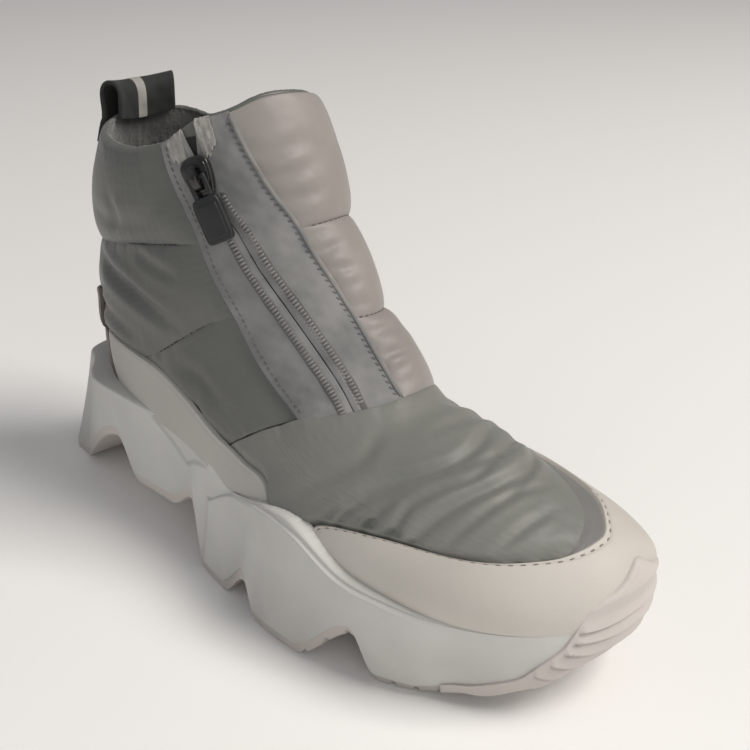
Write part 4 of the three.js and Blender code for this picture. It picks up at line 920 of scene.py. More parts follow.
@dataclass(frozen=True)
class SolePlan:
    """The sole's outline, walls and heights, which midsole and outsole share.

    Attributes:
        half_length: half the sole's length.
        ball: width at the ball of the foot.
        lip: height of the lip at the forefoot.
        heel_lift: how much higher the lip is at the heel.
        arch: height of the lobes under the arch.
        notch: depth of the notches between the lobes.
        spring: how far the toe turns up.
        kick: how far the heel leans forward from its foot to its lip.
        tuck: how far the toe draws back.
        tread: thickness of the tread.
        step: how far the thicker front part stands out.
        bumper_height: height of the toe bumper at the toe.
        bumper_start: where the bumper starts along the foot, in shares of half the length.
        front_start: where the thicker front part starts, in the same shares.
    """

    half_length: float = 145.0
    ball: float = 99.5
    lip: float = 37.0
    heel_lift: float = 17.0
    arch: float = 15.0
    notch: float = 15.0
    spring: float = 16.0
    kick: float = 17.0
    tuck: float = 3.5
    tread: float = 5.0
    step: float = 1.4
    bumper_height: float = 58.0
    bumper_start: float = 0.68
    front_start: float = -0.124

    def half_width(self, side: Array, along: Array) -> Array:
        """Half the width on one side, drawn in to nothing at the heel and the toe."""
        width = self.ball * np.where(side < 0, SOLE_OUTER(along), SOLE_INNER(along))
        square = np.where(along < 0, 50, 7)
        return width * np.sqrt(np.maximum(0, 1 - np.abs(along) ** square))

    def place(self, side: Array, along: Array, share: Array) -> Array:
        """A point of the outline seen from above, at a share of the wall's height."""
        kick = self.kick * share * smooth(-along, 0.6, 0.95)
        tuck = self.tuck * smooth(along, 0.8, 1)
        shift = 0.05 * self.ball * smooth(along, 0.5, 1)
        x = self.half_length * along + kick - tuck
        return np.stack([x, shift + side * self.half_width(side, along)], -1)

    def edge(self, side: Array, along: Array, out: Array, share: Array) -> Array:
        """The outline moved outwards, square to itself."""
        ahead = self.place(side, np.minimum(along + 0.004, 1), share)
        behind = self.place(side, np.maximum(along - 0.004, -1), share)
        tangent = unit(ahead - behind)
        away = np.stack([-side * tangent[..., 1], side * tangent[..., 0]], -1)
        tip = np.stack([np.sign(along), np.zeros_like(along)], -1)
        away = np.where((np.abs(along) > 0.9995)[..., None], tip, away)
        origin = np.array(LAST.origin[:2])
        return self.place(side, along, share) + away * np.asarray(out)[..., None] + origin

    def floor(self, along: Array, inward: Array = 0.0) -> Array:
        """Height of the tread's face: notches and arch, shallower further in, and the toe's rise."""
        keep = 1 - 0.45 * inward
        lobes = NOTCHES(along) * self.notch + ARCH_LIFT(along) * self.arch
        return lobes * keep + TOE_LIFT(along) * self.spring

    def lip_height(self, along: Array) -> Array:
        """Height of the sole's lip."""
        return self.lip + self.heel_lift * LIP_LINE(along)

    def share(self, along: Array, z: Array) -> Array:
        """How far up the wall a height lies."""
        low = self.floor(along)
        return np.clip((z - low) / (self.lip_height(along) - low), 0, 1)

    def out(self, along: Array, share: Array) -> Array:
        """How far the wall stands out at a share of its height."""
        return FOOT_FLARE(along) * (1 - share) ** 2 + LIP_FLARE(along) * share**2

    def ring(
        self, rim: tuple[Array, Array], z: Array, out: Array, inward: float = 0.0, base: Array | None = None
    ) -> Array:
        """A ring round the sole.

        Args:
            rim: sides and shares along the sole.
            z: the ring's heights.
            out: how far it stands out.
            inward: a share by which it is drawn towards the sole's middle line.
            base: heights that give the wall's lean where they aren't the ring's own.

        Returns:
            The ring's points.
        """
        side, along = rim
        xy = self.edge(side, along, out, self.share(along, z if base is None else base))
        spine_x = np.clip(xy[:, 0], -0.93 * self.half_length, 0.7 * self.half_length)
        spine = np.stack([spine_x, np.full(len(xy), 6.0)], -1)
        return np.concatenate([blend(xy, spine, inward), np.asarray(z)[:, None]], 1)


SOLE = SolePlan()


def full_rim(count: int) -> tuple[Array, Array]:
    """Sides and shares along the sole, from the heel along the outer side to the toe and back."""
    even = np.linspace(-1, 1, count)
    heel = -1 + 0.03 * np.linspace(0, 1, 16) ** 2
    toe = 1 - 0.14 * np.linspace(0, 1, 46) ** 2
    along = np.unique(np.round(np.concatenate([even, heel, toe]), 6))
    sides = np.concatenate([np.full(len(along), -1.0), np.full(len(along) - 2, 1.0)])
    return sides, np.concatenate([along, along[1:-1][::-1]])


def upper_contour() -> Array:
    """Where the upper passes the sole's lip: crossings of the lip's height on lines down the form."""
    turn = np.arange(-180, 180, 0.75)
    level = np.linspace(0.05, 12, 700)
    points = LAST.skin(level[:, None], turn[None, :])
    x = points[..., 0] - LAST.origin[0]
    over = points[..., 2] - SOLE.lip_height(np.clip(x / SOLE.half_length, -1, 1))
    rows, columns = np.nonzero(over[:-1] * over[1:] < 0)
    share = over[rows, columns] / (over[rows, columns] - over[rows + 1, columns])
    crossing = blend(points[rows, columns], points[rows + 1, columns], share[:, None])
    return crossing - LAST.normal(level[rows], turn[columns]) * 1.2


class Sole:
    """The foam midsole and the rubber outsole with its toe bumper."""

    def __init__(self, wardrobe: Wardrobe) -> None:
        """Keeps the wardrobe and the rim that both parts share."""
        self.wardrobe = wardrobe
        self.rim = full_rim(330)

    def midsole(self) -> None:
        """The foam wedge: rings from the tread up the wall, over the step and the lip to the upper."""
        _, along = self.rim
        low = SOLE.floor(along) + SOLE.tread - 0.2
        lip = SOLE.lip_height(along)
        front = smooth(along, SOLE.front_start - 0.03, SOLE.front_start)
        covered = smooth(along, 0.6, 0.72)
        border = np.minimum(FRONT_BORDER(np.maximum(along, SOLE.front_start)), lip - 1)
        border = blend(blend(low, lip, 0.7), border, smooth(along, -0.27, -0.16))
        step = SOLE.step * front * (1 - covered)
        bumper = SOLE.bumper_height * BUMPER_EDGE(np.maximum(along, SOLE.bumper_start))

        def wall(z: Array, stand: Array | float = 0.0) -> Array:
            under = smooth(bumper - z, 1.2, 2.4) * smooth(along, 0.66, 0.69)
            inside = smooth(along, -0.455, -0.44) * (1 - smooth(along, -0.19, -0.135))
            facet = smooth(z - ARCH_FACET(along), 0, 0.9) * inside * (1 - smooth(z, lip - 2.5, lip))
            out = SOLE.out(along, SOLE.share(along, z)) + stand - 2.2 * under - 0.9 * facet
            return SOLE.ring(self.rim, z, out)

        rings = [SOLE.ring(self.rim, low, SOLE.out(along, SOLE.share(along, low)), 0.6), wall(low)]
        rings += [wall(blend(low + 0.6, border - 0.6, t), step) for t in crowded(42, 0.4)]
        rings += [wall(border - 0.1, step * 0.85), wall(border + 0.3, step * 0.3), wall(border + 0.7)]
        rings += [wall(blend(border + 1.2, lip - 1.3, t)) for t in np.linspace(0, 1, 26)]
        rings += [wall(lip - 0.6, -0.2), wall(lip - 0.15, -0.7)]
        shelf = wall(lip, -1.4)
        contour = upper_contour()
        gaps = np.linalg.norm(shelf[:, None, :2] - contour[None, :, :2], axis=-1)
        meet = contour[np.argmin(gaps, 1)]
        meet[:, 2] = lip
        rings += [shelf, blend(shelf, meet, 0.5), meet]
        points = np.stack(rings)
        facing = points * np.array([0, 1, 1]) - np.array([0, 4, 30])
        piece = grid_object("midsole_foam", points, facing, True, 32)
        self.wardrobe.dress(piece, FOAM, "midsole_foam", nodes=("midsole",))

    def outsole(self) -> None:
        """The tread: its face with cross grooves at the forefoot's edge, and its low side wall."""
        _, along = self.rim
        floor = SOLE.floor(along)
        out = SOLE.out(along, 0.0) - 1
        groove = self.grooves(along)
        rings = []
        for inward in (0.98, 0.8, 0.6, 0.4, 0.25, 0.15, 0.09, 0.05, 0.02):
            z = SOLE.floor(along, inward)
            deep = groove * (1 - smooth(inward, 0.1, 0.3))
            rings.append(SOLE.ring(self.rim, z + deep, out, inward, floor))
        rings.append(SOLE.ring(self.rim, floor + 0.35 + groove, out - 0.15, 0, floor))
        rings.append(SOLE.ring(self.rim, floor + 1.0 + groove, out + 0.1))
        top = floor + SOLE.tread
        side_out = SOLE.out(along, SOLE.share(along, top))
        for t in (0.45, 0.7, 0.9, 1.0):
            z = np.maximum(blend(floor + 1.0, top, t), floor + 1.1 + groove)
            rings.append(SOLE.ring(self.rim, z, blend(out + 0.1, side_out, t)))
        rings.append(SOLE.ring(self.rim, top + 0.1, side_out - 1.2))
        points = np.stack(rings)
        facing = points * np.array([0, 1, 0]) - np.array([0, 4, 40])
        piece = grid_object("tread_rubber", points, facing, True, 38)
        self.wardrobe.dress(piece, RUBBER, "outsole_rubber", nodes=("outsole",))

    def grooves(self, along: Array) -> Array:
        """Depth of the cross grooves under the forefoot, about 2 mm wide."""
        pitch, depth = 8.5, 1.6
        away = np.abs((along * SOLE.half_length / pitch) % 1 - 0.5) * pitch
        inside = smooth(along, 0.3, 0.33) * (1 - smooth(along, 0.8, 0.84))
        return depth * (1 - smooth(away, 0.6, 1.2)) * inside

    def bumper(self) -> None:
        """The toe bumper: a wall round the toe with shingled ribs that get shorter downwards."""
        even = np.linspace(SOLE.bumper_start, 1, 120)
        stations = np.unique(np.concatenate([even, 1 - 0.1 * np.linspace(0, 1, 40) ** 2]))
        side = np.concatenate([np.full(len(stations), -1.0), np.full(len(stations) - 1, 1.0)])
        along = np.concatenate([stations, stations[:-1][::-1]])
        low = SOLE.floor(along) + 1.5
        high = np.maximum(SOLE.bumper_height * BUMPER_EDGE(along), SOLE.floor(along) + SOLE.tread + 1)
        rings = []
        for share in np.concatenate([np.linspace(0, 0.93, 120), [0.96, 0.985, 1.0]]):
            z = blend(low, high, share)
            out = self.face(along, z) - 0.8 * smooth(share, 0.975, 1.0)
            rings.append(self.bumper_ring(side, along, z, out))
        rings.append(self.bumper_ring(side, along, high + 0.3, self.face(along, high) - 2.0))
        rings.append(self.bumper_ring(side, along, high - 0.5, self.face(along, high) - 3.4))
        points = np.stack(rings)
        facing = points - np.array([90, 4, 30])
        piece = grid_object("toe_bumper", points, facing, False, 42)
        self.wardrobe.dress(piece, RUBBER, "outsole_rubber", nodes=("outsole",))

    def bumper_ring(self, side: Array, along: Array, z: Array, out: Array) -> Array:
        """A line round the toe at heights and distances from the sole's outline."""
        xy = SOLE.edge(side, along, out, SOLE.share(along, z))
        return np.concatenate([xy, z[:, None]], 1)

    def face(self, along: Array, z: Array) -> Array:
        """How far the bumper's face stands out: the wall, less its lean, with a shingle for each rib."""
        lean = 0.35 * np.maximum(0, z - 0.83 * SOLE.bumper_height)
        out = SOLE.out(along, SOLE.share(along, z)) + 0.9 - lean + 0.9 * smooth(z, 42, 50)
        for line, start, end in BUMPER_RIBS:
            above = z - line(along)
            shingle = np.where(above > 0, np.clip(1 - above / 4.2, 0, 1) ** 1.6, smooth(above, -0.7, 0))
            groove = np.exp(-(((above + 1.0) / 0.65) ** 2))
            fade = smooth(along, start, start + 0.012) * (1 - smooth(along, end - 0.02, end))
            out = out + (1.0 * shingle - 0.75 * groove) * fade
        return out

    def build(self) -> None:
        """Makes all pieces of the sole."""
        self.midsole()
        self.outsole()
        self.bumper()


# Creases of the vamp: long ones that climb from the outer side to the toe's inner side, and short ones.
VAMP_CREASES: tuple[Crease, ...] = (
    Crease(((5.5, -72), (5.34, -58), (5.34, -46), (5.15, -34), (4.85, -20), (4.9, -4)), 2.0, 0.95),
    Crease(((5.06, -66), (4.88, -44), (4.69, -29), (4.44, -12), (4.5, 10), (4.9, 30)), 2.4, 1.25),
    Crease(((4.5, -56), (4.32, -33), (4.16, -15), (3.9, 2)), 2.0, 0.7),
    Crease(((3.75, -46), (3.6, -26), (3.44, -6)), 2.0, 0.55),
    Crease(((6.15, -58), (5.95, -44), (5.6, -32), (5.34, -20), (5.3, -6), (5.5, 14), (5.7, 34)), 2.4, 1.15),
    Crease(((6.1, -78), (6.1, -64), (5.95, -52), (5.7, -42)), 1.8, 0.75),
    Crease(((5.8, -76), (5.72, -62), (5.6, -50)), 1.6, 0.6),
    Crease(((6.95, -76), (6.74, -58), (6.5, -40), (6.7, -26)), 3.2, 0.75),
    Crease(((5.15, -18), (4.95, 0), (5.1, 22), (5.4, 42)), 2.2, 0.95),
    Crease(((4.21, -22), (4.3, -4), (4.5, 14), (4.9, 34)), 2.0, 0.75),
    Crease(((6.4, -84), (6.3, -70), (6.15, -56)), 1.8, 0.6),
    Crease(((6.0, -10), (5.9, 10), (6.0, 34), (6.2, 56)), 3.0, 0.8),
    Crease(((6.7, 10), (6.4, 40), (6.5, 70), (6.8, 92)), 3.4, 0.8),
    Crease(((5.9, 62), (6.2, 76), (6.5, 94)), 2.4, 0.8),
    Crease(((7.2, 70), (6.9, 84), (7.0, 104)), 3.0, 0.7),
    Crease(((6.2, -70), (5.7, -40), (5.2, -8), (5.3, 30)), 7.0, 0.9),
    Crease(((5.3, -66), (4.6, -30), (4.2, 4), (4.6, 34)), 6.0, 0.8),
)
# Creases of the quarter: a deep one that falls from the heel to the placket, and shallow ones in each bay.
QUARTER_CREASES: tuple[Crease, ...] = (
    Crease(((11.9, -128), (11.7, -118), (11.33, -101.7), (10.93, -90.4), (10.35, -78)), 3.4, 2.4),
    Crease(((11.3, -134), (10.8, -113), (10.35, -98)), 2.8, 1.4),
    Crease(((13.58, -105.2), (13.16, -102.9), (12.68, -108.4)), 3.2, 0.8),
    Crease(((14.2, -78), (13.6, -76), (12.9, -78)), 3.2, 0.7),
    Crease(((13.2, -125), (12.95, -104), (12.8, -82)), 3.8, 0.8),
    Crease(((12.0, -96), (11.6, -84), (11.3, -74)), 2.6, 0.8),
    Crease(((9.1, -74), (8.7, -84), (8.45, -98)), 3.6, 0.8),
    Crease(((9.9, -118), (9.45, -100), (9.0, -84)), 3.6, 1.0),
    Crease(((9.6, -80), (9.2, -72), (8.6, -70)), 3.0, 0.6),
    Crease(((13.1, 82), (12.9, 104), (13.1, 128)), 3.8, 0.9),
    Crease(((11.6, 72), (11.1, 94), (11.3, 118)), 3.4, 1.7),
    Crease(((10.6, 64), (10.3, 84), (10.7, 104)), 3.0, 1.0),
    Crease(((9.5, 58), (9.0, 76), (8.8, 96)), 3.4, 1.1),
    Crease(((8.6, 62), (8.3, 80), (8.4, 104)), 2.8, 0.8),
    Crease(((14.9, 150), (14.2, 158), (13.4, 152)), 3.6, 0.8),
    Crease(((12.0, 176), (11.6, 196), (11.8, 214)), 3.4, 1.0),
)
# Puckers of the baffles, drawn in at the corded seam.
BAFFLE_CREASES: tuple[Crease, ...] = (
    Crease(((14.05, -34), (13.95, -24), (14.0, -6)), 3.2, 1.1),
    Crease(((13.35, -30), (13.4, -20), (13.5, -2)), 3.0, 1.1),
    Crease(((12.65, -26), (12.68, -18), (12.8, -2)), 2.8, 1.0),
    Crease(((11.5, -18), (11.5, -13), (11.58, -4)), 2.0, 0.7),
    Crease(((10.9, -15), (10.95, -10), (11.04, -1)), 2.0, 0.8),
    Crease(((10.4, -14), (10.38, -8), (10.26, 3)), 2.2, 0.9),
    Crease(((9.9, -11), (9.93, -5), (9.95, 3)), 1.9, 0.7),
    Crease(((9.42, -10), (9.38, -3), (9.33, 5)), 1.8, 0.6),
    Crease(((8.72, -8), (8.68, 1), (8.66, 11)), 2.2, 0.8),
    Crease(((8.12, -7), (8.1, 2), (8.02, 12)), 2.2, 0.9),
    Crease(((7.7, -9), (7.74, 0), (7.8, 9)), 1.9, 0.6),
    Crease(((13.2, 62), (13.0, 50), (12.9, 38)), 3.0, 0.6),
    Crease(((10.6, 50), (10.6, 40), (10.7, 30)), 2.8, 0.7),
    Crease(((8.4, 40), (8.5, 32), (8.6, 24)), 2.6, 0.6),
    Crease(((14.3, -10), (13.7, 8), (13.9, 26)), 5.0, 0.5),
)


class Upper:
    """The quilted nylon panels, the lining and the coated overlays.

    Attributes:
        CROWN: how many lines of the collar's roll the outer cloth takes in.
    """

    CROWN = 5

    def __init__(self, wardrobe: Wardrobe) -> None:
        """Keeps the wardrobe and the noises of the cloth."""
        self.wardrobe = wardrobe
        self.ripple = Noise(3)
        self.slack = Noise(11)

    def gathers(self, points: Array, share: Array, reach: float, amount: float) -> Array:
        """Small puckers that stand square to a bay's edges and fade away from them."""
        along = points[..., 0] * 0.16 + points[..., 2] * 0.07 + points[..., 1] * 0.12
        near = np.exp(-np.minimum(share, 1 - share) / reach)
        fine = 0.5 * self.ripple(along * 2.3 + 9, share * 2)
        return amount * near * (self.ripple(along, share * 1.3) + fine)

    def shaft_surface(self) -> tuple[Array, Array, Array]:
        """Three quilted bays round the foot, and the roll over the collar's edge.

        Returns:
            The bays' points, their outward normals, and the roll's points from the outside to the inside.
        """
        seams = np.stack([line(ROUND) for line in QUILT_SEAMS])
        bay, share = three_bays(crowded(34, 0.8))
        level = blend(seams[bay], seams[bay + 1], share)
        skin, normal = LAST.skin(level, ROUND), LAST.normal(level, ROUND)
        free = LAST.beside_front(level, ROUND) * (1 - LAST.rand_step(level, ROUND))
        lift = LAST.quilt(level, ROUND) + self.gathers(skin, share, 0.14, 0.4) * free
        lift = lift + folded(skin, QUARTER_CREASES)
        points = skin + normal * lift[..., None]
        top = unit(points[-1] - points[-3])
        angle = np.radians(np.linspace(15, 180, 12))[:, None, None]
        thick = (lift[-1] + LAST.wall)[None, :, None]
        inward = normal[-1] * (1 - np.cos(angle)) * thick / 2
        return points, normal, points[-1] - inward + np.sin(angle) * thick * 0.55 * top

    def quarter(self, points: Array, normal: Array, roll: Array) -> None:
        """Shaft and quarter in nylon, up to the crown of the collar's roll."""
        rolled = roll[: self.CROWN]
        facing = np.concatenate([normal, np.zeros_like(rolled)])
        piece = grid_object("shaft_quilting", np.concatenate([points, rolled]), facing, True, 70)
        # The shaft's nylon is painted darker than the vamp's, for shade.
        self.wardrobe.dress(piece, NYLON_SHADED, "upper_textile", nodes=("upper",))

    def vamp(self) -> None:
        """The vamp: one soft bay from the cap or insert to the seam at the zip's foot, where it overlaps."""
        turn = np.linspace(-132, 132, 330)
        start = np.maximum(CAP_TOP(turn) - 0.06, np.where(np.abs(turn - 17) < 50, INSERT_SEAM(turn), 0))
        overlap = 0.05 * smooth(-np.abs(turn + 3), -55, -42)
        end = VAMP_SEAM(turn) + overlap
        share = crowded(130, 0.75)[:, None]
        level = blend(start, end, share)
        lift = LAST.quilt(np.minimum(level, VAMP_SEAM(turn) - 0.001), turn)
        over = smooth(-np.abs(turn + 3), -60, -42)
        insert = smooth(start - CAP_TOP(turn), 0, 0.3)
        lift = lift + 1.9 * over * smooth(share, 0.8, 0.97)
        away = 1 - insert * (1 - smooth(share, 0, 0.4))
        lift = blend(-0.5, lift, away) - 1.2 * insert * (1 - smooth(share, 0, 0.014))
        lift = lift - (2.4 * over + 0.8) * smooth(share, 0.985, 1.0)
        skin = LAST.skin(level, turn)
        lift = lift + self.gathers(skin, share, 0.05, 0.55) * away
        lift = lift + folded(skin, VAMP_CREASES) * blend(0.2, 1.0, away)
        piece = cloth_object("vamp_nylon", level, turn, lift)
        self.wardrobe.dress(piece, NYLON, "upper_textile", nodes=("upper",))

    def insert(self) -> None:
        """The flat insert between the vamp's front seam and the toe cap."""
        turn = np.linspace(-33, 67, 160)
        share = np.linspace(0, 1, 26)[:, None]
        level = blend(CAP_TOP(turn) - 0.08, INSERT_SEAM(turn) + 0.07, share)
        piece = cloth_object("toe_insert", level, turn, -1.35 + 0.2 * np.sin(np.pi * share))
        self.wardrobe.dress(piece, NYLON_INSERT, "upper_textile", nodes=("upper",))

    def lining(self, roll: Array) -> None:
        """The fleece lining: from the crown of the collar's roll down the inside to the footbed."""
        share = np.linspace(0, 1, 140)[:, None]
        level = blend(0.3, COLLAR(ROUND) - 0.1, share)
        rebate = 1.85 * (2 - smooth(level, 5.5, 7.5) - smooth(level, 2, 4))
        pile = 0.35 * self.slack(level * 9, ROUND * 0.3) + 0.2 * self.slack(level * 23, ROUND * 0.8)
        points = LAST.at(level, ROUND, pile * smooth(1 - share, 0, 0.05) - LAST.wall - rebate)
        rolled = roll[self.CROWN - 1 :]
        tuft = 0.25 * self.slack(np.arange(len(rolled))[:, None] * 1.7, ROUND * 0.7)[..., None]
        over = rolled[::-1] + tuft * unit(rolled - roll[self.CROWN - 2])
        facing = np.concatenate([-LAST.normal(level, ROUND), np.zeros_like(over)])
        piece = grid_object("fleece_lining", np.concatenate([points, over]), facing, True, 80)
        self.wardrobe.dress(piece, FLEECE, "insole_textile", nodes=("upper",))

    def bevelled(
        self, level: Array, turn: Array, row: int, height: float, drop: float,
        pressed: float, inset: float, width: float,
    ) -> Array:
        """Height of an overlay with a round edge and a pressed line beside it.

        Args:
            level: levels of its grid.
            turn: turns of its grid.
            row: the row that is its edge.
            height: its height over the form.
            drop: how far its edge falls.
            pressed: depth of the pressed line.
            inset: how far the line lies from the edge.
            width: the line's half width.

        Returns:
            The height at each place.
        """
        skin = LAST.skin(level, turn)
        away = np.linalg.norm(skin - skin[row], axis=-1)
        line = pressed * np.exp(-(((away - inset) / width) ** 2))
        return height - drop * (1 - smooth(away, -0.2, 1.0)) - line

    def toe_cap(self) -> None:
        """The coated toe cap, with a round top edge."""
        turn = np.linspace(-118, 118, 320)
        share = np.concatenate([np.linspace(0.01, 0.9, 60), np.linspace(0.91, 1, 14)])[:, None]
        level = CAP_TOP(turn) * share
        lift = self.bevelled(level, turn, -1, 0.15, 1.7, 0.35, 2.6, 0.7)
        piece = cloth_object("toe_cap_shell", level, turn, lift, 60)
        self.wardrobe.dress(piece, COATED, "coated_overlay", nodes=("toe_cap",))

    def rand_edge(self, level: Array, side: float, height: Callable[[Array], Array]) -> Array:
        """The turn at which the form passes a height on one side, by halving a span of turns."""
        low, high = np.full(len(level), 55.0), np.full(len(level), 152.0)
        for _ in range(30):
            middle = (low + high) / 2
            point = LAST.skin(level, side * middle)
            along = np.clip((point[:, 0] - LAST.origin[0]) / LAST.half_length, *RAND_ENDS)
            above = point[:, 2] > height(along)
            low, high = np.where(above, middle, low), np.where(above, high, middle)
        return low

    def rand(self, name: str, side: float, node: str) -> None:
        """A coated band along one side of the heel, from the sole's lip up to its wavy top edge."""
        level = np.linspace(6.75, 11.2, 150)
        top = self.rand_edge(level, side, LAST.rand_top)
        foot = self.rand_edge(level, side, lambda along: SOLE.lip_height(along) - 3)
        limit = 127.0
        top, foot = np.minimum(top, limit), np.minimum(np.maximum(foot, top + 0.5), limit)
        share = np.concatenate([np.linspace(0, 0.1, 8), np.linspace(0.14, 1, 30)])[:, None]
        turn = side * blend(top, foot, share)
        lift = self.bevelled(level, turn, 0, 0.2, 1.6, 0.3, 2.4, 0.6)
        piece = cloth_object(name, level, turn, lift, 60)
        # The heel's coating is painted darker than the cap's, for shade.
        self.wardrobe.dress(piece, RAND, "coated_overlay", nodes=(node,))

    def heel_strip(self) -> None:
        """The brown strip round the back of the heel, its dark tone partly painted shade."""
        turn = np.linspace(128.5, 231.5, 120)
        level = np.linspace(9.2, 11.3, 50)[:, None]
        lift = LAST.quilt(level, turn) + LAST.clearance
        piece = slab_object("heel_strip", LAST.at(level, turn, lift + 1.8), LAST.at(level, turn, lift))
        self.wardrobe.dress(piece, HEEL_STRIP_AND_SHADE, "heel_strip", nodes=("heel_clip",))

    def build(self) -> None:
        """Makes all pieces of the upper."""
        points, normal, roll = self.shaft_surface()
        self.quarter(points, normal, roll)
        self.lining(roll)
        self.vamp()
        self.insert()
        self.toe_cap()
        self.heel_strip()
        self.rand("rand_outer", -1.0, "heel_rand_outer")
        self.rand("rand_inner", 1.0, "heel_rand_inner")


class Front:
    """The padded baffles and the zip's placket with its stitches.

    Attributes:
        COIL_TURN: how far a row of the coil lies from the slit, in degrees.
        COIL_SPAN: the levels between which the coil's bars show.
        BAR: length, width and height of one bar of the coil.
        BAR_PITCH: distance from one bar to the next.
        STITCH: length, width and height of a topstitch.
        FINE_STITCH: the same of a stitch in the quilting.
    """

    COIL_TURN = 4.3
    COIL_SPAN = (7.45, 13.2)
    BAR = (0.8, 2.4, 0.9)
    BAR_PITCH = 1.45
    STITCH = (1.7, 0.6, 0.5)
    FINE_STITCH = (1.5, 0.6, 0.5)

    def __init__(self, wardrobe: Wardrobe) -> None:
        """Keeps the wardrobe and the noise of the puckers."""
        self.wardrobe = wardrobe
        self.pucker = Noise(5)

    def baffles(self) -> None:
        """Three padded bays beside the zip, each a pillow in both directions, gathered along its sides."""
        side = np.concatenate([[0, 0], crowded(110, 0.7), [1, 1]])
        bay, share = three_bays(crowded(46, 0.8))
        row = np.arange(len(bay))
        level = blend(8.0, 14.0, (bay[:, None] + share) / 3) + 0 * side
        for _ in range(8):
            turn = blend(PLACKET_INNER(level) + 0.6, BAFFLE_INNER(level), side)
            seams = np.stack([line(turn) for line in QUILT_SEAMS])
            level = blend(seams[bay, row], seams[bay + 1, row], share)
        bay = bay[:, None]
        full = pillow(share) * pillow(np.clip(side, 0.01, 0.99))
        skin = LAST.skin(level, turn)
        away = np.linalg.norm(skin - skin[:, :1], axis=-1)
        near_side = np.exp(-side * 4.2) + 0.8 * np.exp(-(1 - side) * 9)
        near_seam = np.exp(-np.minimum(share, 1 - share) * 9)
        pucker = 0.9 * near_side * self.pucker(bay * 7 + share * 5.5, side * 1.2 + bay * 3)
        seam = 0.5 * self.pucker(away * 0.17 + bay * 5, share * 2) * near_seam
        lift = 1.55 + 4.2 * full + (pucker + seam) * np.clip(full * 2, 0, 1)
        lift[:, 0] = lift[:, -1] = -0.4
        lift[-1] = -1.0
        lift = lift + folded(skin, BAFFLE_CREASES) * np.clip(full * 1.6, 0, 1)
        piece = cloth_object("baffle_padding", level, turn, lift, 75)
        self.wardrobe.dress(piece, NYLON_WARM, "padded_front", nodes=("front_baffles",))

    def flap(self, name: str, from_edge: Curve, sign: float) -> None:
        """One flap of the placket: a woven strip from its stitched edge to the zip's slit."""
        columns = np.linspace(0, 1, 190)
        share = crowded(26, 0.5)[:, None]
        level = blend(7.0, 14.9, columns) + 0 * share
        for _ in range(6):
            slit = ZIP_LINE(level) + sign * self.half_slit(level)
            turn = blend(from_edge(level), slit, share)
            level = blend(VAMP_SEAM(turn) - 0.03, COLLAR(turn) + 0.03, columns)
        raised = 0.35 * smooth(share, 0.78, 0.84) * (1 - smooth(share, 0.93, 0.97))
        lift = 1.45 + raised + 0.15 * self.pucker(columns * 26, share * 2)
        piece = slab_object(name, LAST.at(level, turn, lift), LAST.at(level, turn, 0.35))
        self.wardrobe.dress(piece, TAPE, "placket_textile", nodes=("zip_placket",))

    def half_slit(self, level: Array) -> Array:
        """Half the slit's width in degrees: closed below the slider and open above it."""
        return 0.7 + 3.2 * smooth(level, 13.9, 14.9)

    def line_path(
        self, edge: Curve, shift: float, low: float, high: float, lift: float
    ) -> tuple[Array, Array]:
        """A path up the front over the placket.

        Args:
            edge: the line that it follows.
            shift: how far it lies beside the line, in degrees.
            low: the level where it starts.
            high: the level where it ends.
            lift: its height over the form.

        Returns:
            The path's points and its normals.
        """
        level = np.linspace(low, high, 300)
        turn = edge(level) + shift
        return LAST.at(level, turn, lift), LAST.normal(level, turn)

    def teeth(self) -> None:
        """The coil's rows on both sides of the slit: small bars across the zip."""
        paths = [self.line_path(ZIP_LINE, sign * self.COIL_TURN, *self.COIL_SPAN, 2.0) for sign in (-1, 1)]
        piece = repeated("zip_coil_rows", self.BAR, paths, self.BAR_PITCH)
        self.wardrobe.dress(piece, COIL, "zip_coil", nodes=("zip_teeth",))

    def slit(self) -> None:
        """The dark coil seen in the slit: a thin strip under the flaps' edges, as dark as the webbing."""
        level = np.linspace(7.2, 14.6, 160)
        turn = ZIP_LINE(level) + np.linspace(-1, 1, 5)[:, None] * 4.5
        piece = cloth_object("slit_coil", level, turn, 0.5, 40)
        self.wardrobe.dress(piece, WEBBING, "zip_coil", nodes=("zip_teeth",))

    def coil_shade_band(self, name: str, sign: float) -> None:
        """A band of tape under one row of bars, painted darker to stand for the shade between the bars."""
        level = np.linspace(7.3, 13.3, 200)
        across = np.linspace(-1, 1, 5)[:, None]
        turn = ZIP_LINE(level) + sign * (self.COIL_TURN + 2.1 * across)
        piece = cloth_object(name, level, turn, 1.86 - 0.5 * np.abs(across) ** 4, 40)
        self.wardrobe.dress(piece, TAPE_SHADE, "placket_textile", nodes=("zip_placket",))

    def tape_end(self, name: str, start: float, end: float, height: float) -> None:
        """A frayed end of the zip's tape, folded over the flap's top corner."""
        share = np.linspace(0, 1, 30)
        down = np.linspace(-0.12, 1, 22)[:, None]
        ragged = 1 + 0.12 * self.pucker(share * 11, start) - 0.45 * share
        drop = height * ragged * down
        edge = blend(start, end, share)
        level = COLLAR(edge) - 0.02 - drop / LEVEL_HEIGHT
        turn = edge + 0.25 * drop
        lift = 1.95 + 0.35 * self.pucker(share * 5, down * 4) - 1.2 * smooth(-down, 0, 0.12)
        piece = slab_object(name, LAST.at(level, turn, lift + 0.35), LAST.at(level, turn, lift - 0.35))
        self.wardrobe.dress(piece, TAPE_END, "placket_textile")

    def placket_stitches(self) -> None:
        """Topstitching along both edges of the placket."""
        outer = self.line_path(PLACKET_OUTER, 2.2, 7.9, 14.5, 1.5)
        inner = self.line_path(PLACKET_INNER, -1.9, 7.2, 14.75, 1.55)
        for name, path, slant in (("outer", outer, 12), ("inner", inner, 38)):
            piece = repeated(f"placket_stitches_{name}", self.STITCH, [path], 2.5, slant)
            self.wardrobe.dress(piece, THREAD_DARK, "placket_textile")

